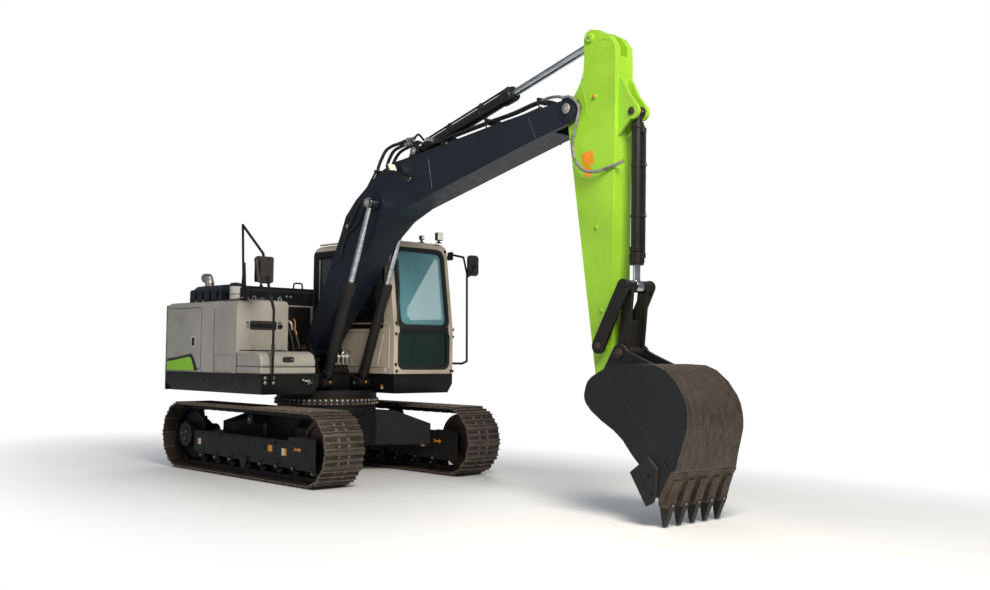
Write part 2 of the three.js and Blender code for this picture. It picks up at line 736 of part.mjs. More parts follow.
function seat() {
  const floor = cabFloor + cabWall + 240 + 2 * fit;
  const profile = [
    [-420, floor], [60, floor], [90, floor + 40], [80, floor + 120], [-300, floor + 110], [-400, floor + 640],
    [-430, floor + 860], [-520, floor + 850], [-540, floor + 600], [-480, floor + 60],
  ];
  return sidePlate(profile, seatMiddle - 225, seatMiddle + 225);
}

// ---------------------------------------------------------------- rails, mirrors and lamps

const railY = -1130;

function handrailRight() {
  const foot = box(toolBoxFront + fit, toolBoxFront + 12, railY - 45, railY + 45, 1065, 1155);
  const rail = rod([[toolBoxFront + 6, railY, 1110], [560, railY, 1110], [560, railY, 1900], [520, -1150, 2060],
    [500, -1170, 2190], [400, -1185, 2540], [-75, -1170, 2900], [-75, -1140, tankTop + 20]], 16);
  const post = upright(-75, -1140, 40, tankTop + fit, tankTop + 130, 12);
  return join(foot, rail, post);
}

function mirror(width, depth, height) {
  const outline = [
    [-width / 2, -height / 2 + 30], [30 - width / 2, -height / 2], [width / 2 - 30, -height / 2],
    [width / 2, -height / 2 + 30], [width / 2, height / 2 - 30], [width / 2 - 30, height / 2],
    [30 - width / 2, height / 2], [-width / 2, height / 2 - 30],
  ];
  return frontPlate(outline, 0, depth);
}

function mirrorArmLeft() {
  const side = cabOuter + fit;
  const rail = rod([[800, side, 2660], [830, side + 60, 2670], [940, side + 130, 2640], [985, side + 150, 2430],
    [1000, side + 150, 1340], [960, side + 110, 1310], [860, side, 1310]], 14);
  const feet = box(780, 880, side, side + 10, 2600, 2700).add(box(820, 880, side, side + 10, 1270, 1350));
  return join(rail, feet).intersect(box(0, 2000, side, 3000, 0, 3000));
}

function cabLights() {
  const roof = cabTop + fit;
  const bar = box(cabFront - 340, cabFront - 310, cabOuter - 420, cabOuter - 110, roof, roof + 14);
  const lamps = [cabOuter - 160, cabOuter - 380].map((y) => join(
    box(cabFront - 345, cabFront - 290, y - 50, y + 50, roof + 30, roof + 125),
    box(cabFront - 335, cabFront - 312, y - 12, y + 12, roof + 5, roof + 60)));
  return join(bar, lamps);
}

function buildUpper() {
  place(machine, "revolving_frame", revolvingFrame(), darkPaint);
  place(machine, "counterweight", counterweight(), darkPaint);
  place(machine, "engine_house", house(), shellPaint);
  place(machine, "engine", box(-1560, -930, -520, 560, deckTop + fit, bodyTop - 90), darkPaint);
  place(machine, "engine_hood", engineHood(), darkPaint);
  place(machine, "exhaust_pipe", exhaustPipe(), bareSteel);
  place(machine, "air_precleaner", upright(-660, -900, 72, bodyTop + fit, bodyTop + 235, 24), shellPaint);
  place(machine, "service_door_right", serviceDoor(-1), shellPaint);
  place(machine, "service_door_left", serviceDoor(1), shellPaint);
  place(machine, "fuel_tank", fuelTank(), shellPaint);
  place(machine, "tool_box", toolBox(), shellPaint);
  place(machine, "tool_box_lid", toolBoxLid(), shellPaint);
  place(machine, "handrail_right", handrailRight(), darkPaint);
  const rightMirror = place(machine, "mirror_right", mirror(200, 50, 320), darkPaint);
  rightMirror.position.set(386, -1178, 2347);
  rightMirror.rotation.y = THREE.MathUtils.degToRad(-16);
  place(machine, "cab_shell", cabShell(), shellPaint);
  place(machine, "windshield", pane(windows.windshield, 18), glass);
  place(machine, "windshield_lower", pane(windows.lowerPane, 18), glass);
  place(machine, "window_right", pane(windows.right, 18), glass);
  place(machine, "window_rear", pane(windows.rear, 18), glass);
  place(machine, "window_left", pane(windows.leftRear, 18), glass);
  place(machine, "roof_hatch", pane(windows.roof, 12), glass);
  place(machine, "cab_door", cabDoor(), shellPaint);
  place(machine, "cab_door_glass", doorPane(), glass);
  place(machine, "seat_base", seatBase(), darkPaint);
  place(machine, "seat", seat(), fabric);
  place(machine, "mirror_arm_left", mirrorArmLeft(), darkPaint);
  const leftMirror = place(machine, "mirror_left", mirror(170, 50, 260), darkPaint);
  leftMirror.position.set(960, cabOuter + 248.4, 2540);
  place(machine, "cab_lights", cabLights(), lampWhite);
}

// ---------------------------------------------------------------- boom

const boomHalf = boomWidth / 2;
const armHalf = armWidth / 2;
const forkHalf = armHalf + 7;
const pivotPinRadius = 36;

function boomOutline() {
  const nose = boomLength;
  return [
    [-50, -95], [85, -60], [620, 135], [1380, 400], [1710, 505], [2060, 545], [2395, 505], [2865, 385],
    [3650, 175], [nose - 455, -10], [nose - 60, -128], [nose + 50, -122], [nose + 115, -60], [nose + 118, 25],
    [nose + 30, 98], [nose - 100, 150], [nose - 360, 255], [nose - 725, 405], [nose - 1315, 645], [2865, 895],
    [2420, 1080], [2210, 1122], [2010, 1130], [1620, 1100], [1365, 1035], [1170, 890], [730, 600], [310, 330],
    [-60, 125], [-108, 20],
  ];
}

function boomBody() {
  const nose = boomLength;
  const shell = sidePlate(boomOutline(), -boomHalf, boomHalf);
  const cavity = sidePlate(inset(boomOutline(), boomPlate), boomPlate - boomHalf, boomHalf - boomPlate)
    .intersect(box(140, nose - 250, -boomHalf, boomHalf, -500, 2000));
  const fork = box(nose - 280, nose + 300, -forkHalf, forkHalf, -400, 600);
  const foot = crossPin(0, 0, 105, -boomHalf, boomHalf, 24);
  const [cx, cz] = boomCylinderOnBoom;
  const bossEnd = boomCylinderOffset - eyeWidth / 2 - fit;
  const [dx, dz] = armCylinderOnBoom;
  const lugOutline = [[dx - 260, dz - 100], [dx + 190, dz - 200], ...arc(dx, dz, 74, -70, 165, 9)];
  const lugs = [1, -1].map((side) => {
    const inner = side * (eyeWidth / 2 + 5);
    const outer = side * (eyeWidth / 2 + 38);
    return sidePlate(lugOutline, Math.min(inner, outer), Math.max(inner, outer));
  });
  return join(
    cut(join(cut(shell, cavity), foot), fork, crossBore(0, 0, boomPinRadius, -300, 300)),
    crossPin(cx, cz, 72, -bossEnd, bossEnd, 20),
    lugs,
    crossPin(dx, dz, cylinderPinRadius, -eyeWidth / 2 - 46, eyeWidth / 2 + 46),
    crossPin(nose, 0, pivotPinRadius, -boomHalf - 24, boomHalf + 24),
    [1, -1].map((side) => crossPin(nose, 0, 98, side > 0 ? forkHalf : -boomHalf - 14, side > 0 ? boomHalf + 14 : -forkHalf, 20)),
  );
}

function boomLight() {
  const side = -boomHalf - fit;
  const foot = box(2525, 2585, side - 8, side, 720, 780);
  const arm = rod([[2555, side - 4, 752], [2555, side - 60, 760], [2480, side - 84, 880], [2440, side - 84, 940]], 12, 6);
  const lamp = box(2400, 2452, side - 150, side - 35, 920, 1025);
  return join(foot, arm, lamp);
}

// ---------------------------------------------------------------- arm

const idlerPinRadius = 30;
const idlerInner = 172;
const idlerPlate = 30;
const armTipRadius = 95;            // boss round the bucket's pin

function armOutline() {
  const tip = armLength;
  return [
    [-430, 225], [-265, 185], [-135, 60], [-60, -60], [20, -95], [150, -72], [1635, -90], [tip - 150, -108],
    [tip - 60, -85], [tip + 20, -92], [tip + 92, -20], [tip + 80, 55], [tip - 10, 92], [tip - 200, 96],
    [tip - 430, 140], [tip - 880, 212], [1260, 310], [720, 408], [275, 490], [-270, 592], [-430, 612],
    [-540, 562], [-640, 440], [-680, 345], [-665, 280], [-615, 250],
  ];
}

function armBody() {
  const tip = armLength;
  const [ex, ez] = armCylinderOnArm;
  const [bx, bz] = bucketCylinderOnArm;
  const [ix, iz] = idlerOnArm;
  const shell = sidePlate(armOutline(), -armHalf, armHalf);
  const cavity = sidePlate(inset(armOutline(), armPlate), armPlate - armHalf, armHalf - armPlate)
    .intersect(box(-345, tip - 120, -armHalf, armHalf, -500, 1000));
  const clevis = box(-900, -340, -eyeWidth / 2 - 6, eyeWidth / 2 + 6, -300, 900);
  const lugOutline = [
    [bx - 480, bz - 200], [bx - 100, bz - 260], [bx + 190, bz - 230], ...arc(bx, bz, 74, -30, 110, 7),
    [bx - 170, bz - 10], [bx - 330, bz - 60],
  ];
  const lugs = [1, -1].map((side) => {
    const inner = side * (eyeWidth / 2 + 5);
    const outer = side * (eyeWidth / 2 + 38);
    return sidePlate(lugOutline, Math.min(inner, outer), Math.max(inner, outer));
  });
  const bosses = [
    crossPin(0, 0, 118, -armHalf, armHalf, 24),
    crossPin(ix, iz, 58, 4 - idlerInner, idlerInner - 4, 16),
    crossPin(tip, 0, armTipRadius, -armHalf, armHalf, 24),
  ];
  const caps = [1, -1].map((side) => crossPin(ex, ez, 44, side > 0 ? armHalf - 5 : -armHalf - 20,
    side > 0 ? armHalf + 20 : 5 - armHalf, 16));
  return join(
    cut(join(cut(shell, cavity), bosses), clevis, crossBore(0, 0, pivotPinRadius, -300, 300),
      crossBore(tip, 0, pivotPinRadius, -300, 300)),
    lugs, caps,
    crossPin(bx, bz, cylinderPinRadius, -eyeWidth / 2 - 46, eyeWidth / 2 + 46),
    crossPin(ix, iz, idlerPinRadius, -idlerInner - idlerPlate - 6, idlerInner + idlerPlate + 6, 16),
  );
}

// ---------------------------------------------------------------- cylinders

const barrelStart = 96;             // past the ears that hold the foot

// barrel along +x from its foot pin
function barrel(size) {
  const length = size.barrelLength;
  return cut(
    join(
      alongX(size.barrel, barrelStart, length),
      alongX(size.barrel + 9, length - 100, length),
      alongX(eyeWidth / 2 - 5, 0, barrelStart + 10),
      crossPin(0, 0, size.eye, -eyeWidth / 2, eyeWidth / 2, 20)),
    crossBore(0, 0, cylinderPinRadius, -200, 200),
    alongX(size.bore, 130, length - 60),
    alongX(size.rod + fit * 1.5, length - 80, length + 50),
  );
}

// rod and piston along the same line, out to the eye
function pistonRod(size, eyeAt) {
  return join(
    alongX(size.rod, size.pistonAt, eyeAt - size.eye / 2),
    alongX(size.bore - 1, size.pistonAt, size.pistonAt + 70),
    crossPin(eyeAt, 0, size.eye, -eyeWidth / 2, eyeWidth / 2, 20),
  );
}

function addCylinder(name, size, foot, eye, y) {
  const length = Math.hypot(eye[0] - foot[0], eye[1] - foot[1]);
  const angle = THREE.MathUtils.radToDeg(Math.atan2(eye[1] - foot[1], eye[0] - foot[0]));
  const group = frameAt(foot, angle, y);
  place(group, `${name}_barrel`, barrel(size), darkPaint);
  place(group, `${name}_rod`, pistonRod(size, length), chrome);
}

// ---------------------------------------------------------------- bucket linkage

// a flat link between two bosses, in its own frame from the first boss along +x
function strap(length, firstRadius, lastRadius, y0, y1) {
  return sidePlate([...arc(0, 0, firstRadius, 100, 260, 8), ...arc(length, 0, lastRadius, -80, 80, 8)], y0, y1);
}

function idlerLink(side, length) {
  const near = side * idlerInner;
  const far = side * (idlerInner + idlerPlate);
  const inner = side * (eyeWidth / 2 + 5);
  const body = strap(length, 72, 62, Math.min(near, far), Math.max(near, far));
  const pin = crossPin(length, 0, idlerPinRadius, Math.min(inner, far + side * 8), Math.max(inner, far + side * 8), 16);
  return join(cut(body, crossBore(0, 0, idlerPinRadius, -300, 300, 16)), pin);
}

function bucketLink(length) {
  const reach = armHalf - 3;
  const topOuter = idlerInner - 5;
  const topInner = eyeWidth / 2 + 7;
  const arms = [1, -1].map((side) => join(
    strap(length, 54, 60, side > 0 ? reach - 32 : -reach, side > 0 ? reach : 32 - reach),
    crossPin(0, 0, 54, side > 0 ? topInner : -topOuter, side > 0 ? topOuter : -topInner, 16)));
  const web = box(length - 300, length - 20, 10 - reach, reach - 10, -18, 18);
  const tube = crossPin(length, 0, 62, -reach, reach, 20);
  return cut(join(arms, web, tube), crossBore(0, 0, idlerPinRadius, -300, 300, 16));
}

// ---------------------------------------------------------------- bucket

const bucketHalf = bucketWidth / 2;
const earInner = forkHalf;
const earPlate = 33;
const wrapperPlate = 18;
const toothSpacing = 185;
const lipTop = [1005, -655];
const lipEnd = [855, -885];
const bucketTaper = 0.08;           // each side leans in by this much per unit of height above the lip
const armTipRoom = 30;              // clear round the arm's tip inside the bucket's ears

function bucketBack() {
  return [
    lipEnd, [930, -770], lipTop, [1032, -540], [1062, -439], [1099, -307], [1103, -240], [1100, -178], [1085, -100],
    [1055, -28], [967, 93], [852, 187], [737, 230], [546, 238], [366, 230], [230, 218], [180, 191],
  ];
}

function bucketMouth() {
  return [
    [142, 170], [42, 118], [-2, 78], [-21, 37], [-36, -42], [-28, -85], [-9, -120], [55, -183], [185, -267], [331, -344],
    [436, -421], [541, -534], [633, -616], [700, -700], [770, -800], [815, -868],
  ];
}

function lipOutline(gap) {
  const [tx, tz] = lipTop;
  const [ex, ez] = lipEnd;
  return [
    [tx - 46 - gap, tz + 4 + gap], [ex - 24 - gap, ez - 8], [ex + 6, ez - 22 - gap], [ex + 20 + gap, ez - 6],
    [tx + 6 + gap, tz - 10 + gap], [tx - 4, tz + 24 + gap],
  ];
}

function bucketShell() {
  const outline = [...bucketBack(), ...bucketMouth()];
  const inner = inset(outline, wrapperPlate).slice(0, bucketBack().length);
  const scoop = sidePlate([...inner, [150, 215], [-120, 120], [-120, -250], [560, -1150], [800, -1000]],
    bucketPlate - bucketHalf, bucketHalf - bucketPlate);
  const shell = cut(sidePlate(outline, -bucketHalf, bucketHalf), scoop).warp((point) => {
    point[1] *= 1 - bucketTaper * Math.max(point[2] - lipTop[1], 0) / bucketHalf;
  });
  const earOutline = [
    ...arc(0, 0, 100, 130, 340, 12), [112, 45], [190, 148], [350, 198], [520, 216], [540, 241], [340, 318],
    ...arc(linkOnBucket[0], linkOnBucket[1], 85, 20, 160, 8),
  ];
  const ears = [1, -1].map((side) => sidePlate(earOutline, side > 0 ? earInner : -earInner - earPlate,
    side > 0 ? earInner + earPlate : -earInner));
  const cutterOutline = [[633, -616], [549, -679], [721, -948], [786, -914], [813, -843], [829, -630], [735, -541]];
  const cutters = [1, -1].map((side) => sidePlate(cutterOutline, side > 0 ? bucketHalf - 10 : -bucketHalf - 24,
    side > 0 ? bucketHalf + 24 : 10 - bucketHalf));
  const armRoom = crossPin(0, 0, armTipRadius + armTipRoom, -earInner, earInner, 24);
  const pinEnd = earInner + earPlate + 12;
  return join(
    cut(shell, armRoom, sidePlate(lipOutline(fit), -bucketHalf - 60, bucketHalf + 60)),
    ears, cutters,
    crossPin(0, 0, pivotPinRadius, -pinEnd, pinEnd),
    [1, -1].map((side) => crossPin(linkOnBucket[0], linkOnBucket[1], 46, side > 0 ? earInner : -pinEnd,
      side > 0 ? pinEnd : -earInner, 16)),
  );
}

function cuttingEdge() {
  const lip = sidePlate(lipOutline(0), -bucketHalf, bucketHalf);
  const [ex, ez] = lipEnd;
  const toothOutline = [
    [ex - 40, ez + 70], [ex - 46, ez - 40], [ex - 16, ez - 228], [ex + 14, ez - 230], [ex + 62, ez - 50],
    [ex + 98, ez + 90],
  ];
  const teeth = [-2, -1, 0, 1, 2].map((i) => sidePlate(toothOutline, i * toothSpacing - 42, i * toothSpacing + 42));
  return join(lip, teeth);
}

function buildWorkingArm() {
  const boom = frameAt(boomFoot, boomAngle);
  place(boom, "boom", boomBody(), boomPaint);
  place(boom, "boom_light", boomLight(), lampWhite);
  const arm = frameAt(armPivot, armAngle);
  place(arm, "arm", armBody(), armPaint);
  const boomEye = fromFrame(boomFoot, boomAngle, boomCylinderOnBoom);
  addCylinder("boom_cylinder_right", boomCylinder, boomCylinderOnDeck, boomEye, boomY - boomCylinderOffset);
  addCylinder("boom_cylinder_left", boomCylinder, boomCylinderOnDeck, boomEye, boomY + boomCylinderOffset);
  addCylinder("arm_cylinder", armCylinder, fromFrame(boomFoot, boomAngle, armCylinderOnBoom),
    fromFrame(armPivot, armAngle, armCylinderOnArm), boomY);
  const linkTop = fromFrame(armPivot, armAngle, idlerTop);
  const idlerFoot = fromFrame(armPivot, armAngle, idlerOnArm);
  const linkFoot = [bucketPivot[0] + linkOnBucket[0], bucketPivot[1] + linkOnBucket[1]];
  addCylinder("bucket_cylinder", bucketCylinder, fromFrame(armPivot, armAngle, bucketCylinderOnArm), linkTop, boomY);
  const idlerRun = new THREE.Vector2(linkTop[0] - idlerFoot[0], linkTop[1] - idlerFoot[1]);
  const idlers = frameAt(idlerFoot, THREE.MathUtils.radToDeg(idlerRun.angle()));
  place(idlers, "idler_link_right", idlerLink(-1, idlerRun.length()), darkPaint);
  place(idlers, "idler_link_left", idlerLink(1, idlerRun.length()), darkPaint);
  const linkRun = new THREE.Vector2(linkFoot[0] - linkTop[0], linkFoot[1] - linkTop[1]);
  const link = frameAt(linkTop, THREE.MathUtils.radToDeg(linkRun.angle()));
  place(link, "bucket_link", bucketLink(linkRun.length()), darkPaint);
  const bucket = frameAt(bucketPivot, 0);
  place(bucket, "bucket", bucketShell(), darkPaint);
  place(bucket, "cutting_edge", cuttingEdge(), wornSteel);
}

buildUndercarriage();
buildUpper();
buildWorkingArm();

machine.updateMatrixWorld(true);
const footprint = new THREE.Box3().setFromObject(machine);
const middle = footprint.getCenter(new THREE.Vector3());
machine.position.set(-middle.x, -middle.y, -footprint.min.z);

const excavator = new THREE.Group();
excavator.add(machine);

export default excavator;
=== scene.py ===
"""The looks of a crawler excavator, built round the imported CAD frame.

Lengths are millimetres in the machine's own axes (x forward along the boom, y to the
cab side, z up, with the swing axis at x = y = 0) until a Piece turns them into metres.
"""
import json
import math
import random

import bmesh
import bpy
from mathutils import Matrix, Vector
from mathutils.bvhtree import BVHTree


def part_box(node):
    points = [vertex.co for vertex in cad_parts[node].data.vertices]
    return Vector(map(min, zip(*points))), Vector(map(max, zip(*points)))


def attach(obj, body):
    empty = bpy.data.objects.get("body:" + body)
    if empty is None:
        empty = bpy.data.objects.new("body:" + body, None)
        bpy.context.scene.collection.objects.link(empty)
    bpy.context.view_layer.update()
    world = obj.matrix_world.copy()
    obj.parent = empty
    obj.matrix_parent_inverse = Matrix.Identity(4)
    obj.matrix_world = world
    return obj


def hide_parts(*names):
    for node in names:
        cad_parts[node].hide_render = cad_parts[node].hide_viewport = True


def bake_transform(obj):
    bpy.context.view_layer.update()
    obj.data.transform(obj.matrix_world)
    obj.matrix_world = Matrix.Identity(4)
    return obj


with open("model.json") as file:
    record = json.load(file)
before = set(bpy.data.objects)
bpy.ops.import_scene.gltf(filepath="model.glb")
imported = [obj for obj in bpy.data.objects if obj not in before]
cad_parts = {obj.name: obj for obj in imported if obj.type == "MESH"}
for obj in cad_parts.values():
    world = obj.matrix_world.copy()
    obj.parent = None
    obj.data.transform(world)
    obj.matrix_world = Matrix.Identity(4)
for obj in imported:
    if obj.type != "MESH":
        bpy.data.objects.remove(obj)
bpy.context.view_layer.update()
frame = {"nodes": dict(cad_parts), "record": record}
body_of_node = {n: b for b, nodes in frame["record"]["behaviour"]["bodies"].items() for n in nodes}
random.seed(7)

# ------------------------------------------------------------------ places

low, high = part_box("swing_bearing")
swing_axis = Vector(((low.x + high.x) / 2, (low.y + high.y) / 2, 0))
MACHINE = Matrix.Translation(swing_axis) @ Matrix.Scale(0.001, 4)


def member_frame(parent, x, y, z, angle):
    """Axes at a pin: x along a member that leaves it at an angle above the horizontal."""
    return parent @ Matrix.Translation((x, y, z)) @ Matrix.Rotation(-math.radians(angle), 4, "Y")


BOOM_Y = -30
BOOM = member_frame(MACHINE, -95, BOOM_Y, 1470, 28.33)
BOOM_LENGTH = 4820
ARM = member_frame(BOOM, BOOM_LENGTH, 0, 0, -80.46 - 28.33)
ARM_LENGTH = 2674
BUCKET = member_frame(ARM, ARM_LENGTH, 0, 0, 80.46)

HALF = 1245            # half the body's width
TANK = dict(front=-35, rear=-540, inner=-553, top=2040)
BOOM_CYLINDER_Y = 262  # from the boom's middle to each of its cylinders
STEP = dict(front=502, inner=-512, top=1437, seam=1262)
CAB = dict(inner=315, outer=1245, front=905, rear=-800, top=2815, waist=1722)

# ------------------------------------------------------------------ materials


def linear(r, g, b):
    return tuple((c / 255 / 12.92 if c <= 10 else ((c / 255 + 0.055) / 1.055) ** 2.4) for c in (r, g, b)) + (1,)


class Graph:
    """A material's nodes, added one call at a time."""

    def __init__(self, name):
        self.material = bpy.data.materials.new(name)
        self.material.use_nodes = True
        self.tree = self.material.node_tree
        self.shader = self.tree.nodes["Principled BSDF"]
        self.place = self.add("ShaderNodeTexCoord").outputs["Object"]

    def add(self, kind, settings=None, **sockets):
        node = self.tree.nodes.new(kind)
        for key, value in (settings or {}).items():
            setattr(node, key, value)
        for key, value in sockets.items():
            self.put(node, key.replace("_", " "), value)
        return node

    def put(self, node, key, value):
        socket = node.inputs[int(key)] if key.isdigit() else node.inputs[key]
        if isinstance(value, bpy.types.NodeSocket):
            self.tree.links.new(value, socket)
        else:
            socket.default_value = value

    def shade(self, **sockets):
        for key, value in sockets.items():
            self.put(self.shader, key.replace("_", " "), value)

    def noise(self, scale, detail=3.0, rough=0.55, stretch=None, where=None):
        where = where or self.place
        if stretch:
            where = self.add("ShaderNodeMapping", Vector=where, Scale=stretch).outputs[0]
        return self.add("ShaderNodeTexNoise", Vector=where, Scale=scale, Detail=detail, Roughness=rough).outputs["Fac"]

    def ramp(self, value, low, high, to_low=0.0, to_high=1.0):
        return self.add("ShaderNodeMapRange", {"clamp": True}, Value=value, From_Min=low, From_Max=high,
                        To_Min=to_low, To_Max=to_high).outputs[0]

    def math(self, operation, a, b):
        node = self.add("ShaderNodeMath", {"operation": operation, "use_clamp": True})
        self.put(node, "0", a)
        self.put(node, "1", b)
        return node.outputs[0]

    def mix(self, factor, a, b):
        node = self.add("ShaderNodeMix", {"data_type": "RGBA"})
        for key, value in (("0", factor), ("6", a), ("7", b)):
            self.put(node, key, value)
        return node.outputs[2]

    def bump(self, height, strength, distance):
        self.shade(Normal=self.add("ShaderNodeBump", Height=height, Strength=strength, Distance=distance).outputs[0])

    def upward(self):
        normal = self.add("ShaderNodeNewGeometry").outputs["Normal"]
        return self.add("ShaderNodeSeparateXYZ", Vector=normal).outputs["Z"]

    def edges(self, low=0.02, high=0.2, radius=0.007):
        """1 where the surface turns sharply within the radius."""
        rounded = self.add("ShaderNodeBevel", {"samples": 3}, Radius=radius).outputs[0]
        flat = self.add("ShaderNodeNewGeometry").outputs["Normal"]
        dot = self.add("ShaderNodeVectorMath", {"operation": "DOT_PRODUCT"})
        self.put(dot, "0", rounded)
        self.put(dot, "1", flat)
        return self.ramp(self.math("SUBTRACT", 1.0, dot.outputs["Value"]), low, high)


def paint(name, colour, rough=0.4, dust=0.25, chips=0.25, chip_colour=(120, 112, 104), grime=0.2, coat=0.0, peel=0.08):
    g = Graph(name)
    base = linear(*colour)
    shade_up = tuple(min(1, c * 1.10) for c in base[:3]) + (1,)
    shade_down = tuple(c * 0.86 for c in base[:3]) + (1,)
    tone = g.mix(g.ramp(g.noise(1.7, 4), 0.35, 0.65), shade_down, shade_up)
    dirt = g.math("MULTIPLY", g.ramp(g.upward(), 0.25, 0.95), g.ramp(g.noise(6, 5), 0.35, 0.75))
    tone = g.mix(g.math("MULTIPLY", dirt, dust), tone, linear(158, 146, 128))
    streaks = g.ramp(g.noise(3, 4, stretch=(9, 9, 0.8)), 0.52, 0.8)
    tone = g.mix(g.math("MULTIPLY", streaks, grime), tone, linear(62, 54, 46))
    worn = g.math("MULTIPLY", g.edges(), g.ramp(g.noise(28, 4), 0.45, 0.6))
    tone = g.mix(g.math("MULTIPLY", worn, chips), tone, linear(*chip_colour))
    gloss = g.ramp(g.noise(14, 4), 0.3, 0.7, rough - 0.05, rough + 0.12)
    g.shade(Base_Color=tone, Roughness=g.math("ADD", gloss, g.math("MULTIPLY", dirt, 0.25)), Coat_Weight=coat,
            Coat_Roughness=0.12, Specular_IOR_Level=0.3 if max(colour) < 60 else 0.5)
    g.bump(g.noise(260, 2), peel, 0.001)
    return g.material


def steel(name, bright, dark, rust, rust_share=0.4, rough=0.5, metal=0.8, streak=(1, 1, 1), bump=0.35, worn=None):
    g = Graph(name)
    grain = g.ramp(g.noise(7, 6, 0.65, stretch=streak), 0.3, 0.7)
    tone = g.mix(grain, linear(*dark), linear(*bright))
    patches = g.math("MULTIPLY", g.ramp(g.noise(3.1, 6, 0.7), 0.62 - rust_share * 0.5, 0.8 - rust_share * 0.4), 0.85)
    tone = g.mix(patches, tone, linear(*rust))
    fine = g.ramp(g.noise(55, 4, 0.7), 0.35, 0.65)
    tone = g.mix(g.math("MULTIPLY", fine, 0.25), tone, linear(*[c * 0.45 for c in rust]))
    shine = worn or [min(255, c * 1.35) for c in bright]
    tone = g.mix(g.math("MULTIPLY", g.edges(), 0.9 if worn else 0.55), tone, linear(*shine))
    g.shade(Base_Color=tone, Metallic=g.ramp(patches, 0, 0.8, metal, metal * 0.2),
            Roughness=g.ramp(fine, 0, 1, rough, min(0.95, rough + 0.25)))
    g.bump(g.noise(90, 5, 0.7), bump, 0.0015)
    return g.material


def chrome(name):
    g = Graph(name)
    tone = g.mix(g.ramp(g.noise(5, 3, stretch=(1, 1, 6)), 0.35, 0.65), linear(176, 182, 188), linear(214, 218, 222))
    g.shade(Base_Color=tone, Metallic=1.0, Roughness=g.ramp(g.noise(40, 3), 0.3, 0.7, 0.10, 0.2))
    return g.material


def rubber(name, colour=(24, 23, 22), rough=0.55):
    g = Graph(name)
    tone = g.mix(g.ramp(g.noise(18, 4), 0.35, 0.7), linear(*colour), linear(*[c * 1.7 for c in colour]))
    g.shade(Base_Color=tone, Roughness=g.ramp(g.noise(30, 3), 0.3, 0.7, rough - 0.1, rough + 0.15))
    g.bump(g.noise(140, 3), 0.15, 0.001)
    return g.material


def glass(name, tint, alpha):
    g = Graph(name)
    tone = g.mix(g.ramp(g.noise(0.8, 2), 0.3, 0.7), linear(*tint), linear(*[min(255, c * 1.08) for c in tint]))
    smear = g.ramp(g.noise(5, 4), 0.45, 0.8, 0.02, 0.09)
    g.shade(Base_Color=tone, Roughness=smear, Alpha=alpha, Specular_IOR_Level=0.8)
    return g.material


def lens(name, colour, glow=0.25):
    g = Graph(name)
    ribs = g.add("ShaderNodeTexWave", {"bands_direction": "Z"}, Vector=g.place, Scale=45,
                 Distortion=0.5).outputs["Fac"]
    tone = g.mix(g.ramp(ribs, 0, 1, 0, 0.25), linear(*colour), linear(150, 152, 150))
    g.shade(Base_Color=tone, Roughness=0.12, Emission_Color=tone, Emission_Strength=glow, Coat_Weight=0.6)
    return g.material


def sticker(name, colour, rough=0.35):
    g = Graph(name)
    tone = g.mix(g.ramp(g.noise(22, 4), 0.4, 0.7), linear(*colour), linear(*[c * 0.94 for c in colour]))
    scuffs = g.math("MULTIPLY", g.ramp(g.noise(60, 5), 0.66, 0.76), 0.15)
    g.shade(Base_Color=g.mix(scuffs, tone, linear(70, 62, 55)), Roughness=rough)
    return g.material


def cloth(name, colour):
    g = Graph(name)
    over = g.add("ShaderNodeTexWave", {"bands_direction": "Y"}, Vector=g.place, Scale=160,
                 Distortion=0.3).outputs["Fac"]
    under = g.add("ShaderNodeTexWave", {"bands_direction": "Z"}, Vector=g.place, Scale=160,
                  Distortion=0.3).outputs["Fac"]
    weave = g.math("MULTIPLY", over, under)
    tone = g.mix(g.math("ADD", g.math("MULTIPLY", weave, 0.6), g.ramp(g.noise(9, 4), 0.3, 0.8, 0, 0.35)),
                 linear(*[c * 0.6 for c in colour]), linear(*[c * 1.35 for c in colour]))
    g.shade(Base_Color=tone, Roughness=0.9, Sheen_Weight=0.35)
    g.bump(weave, 0.5, 0.002)
    return g.material


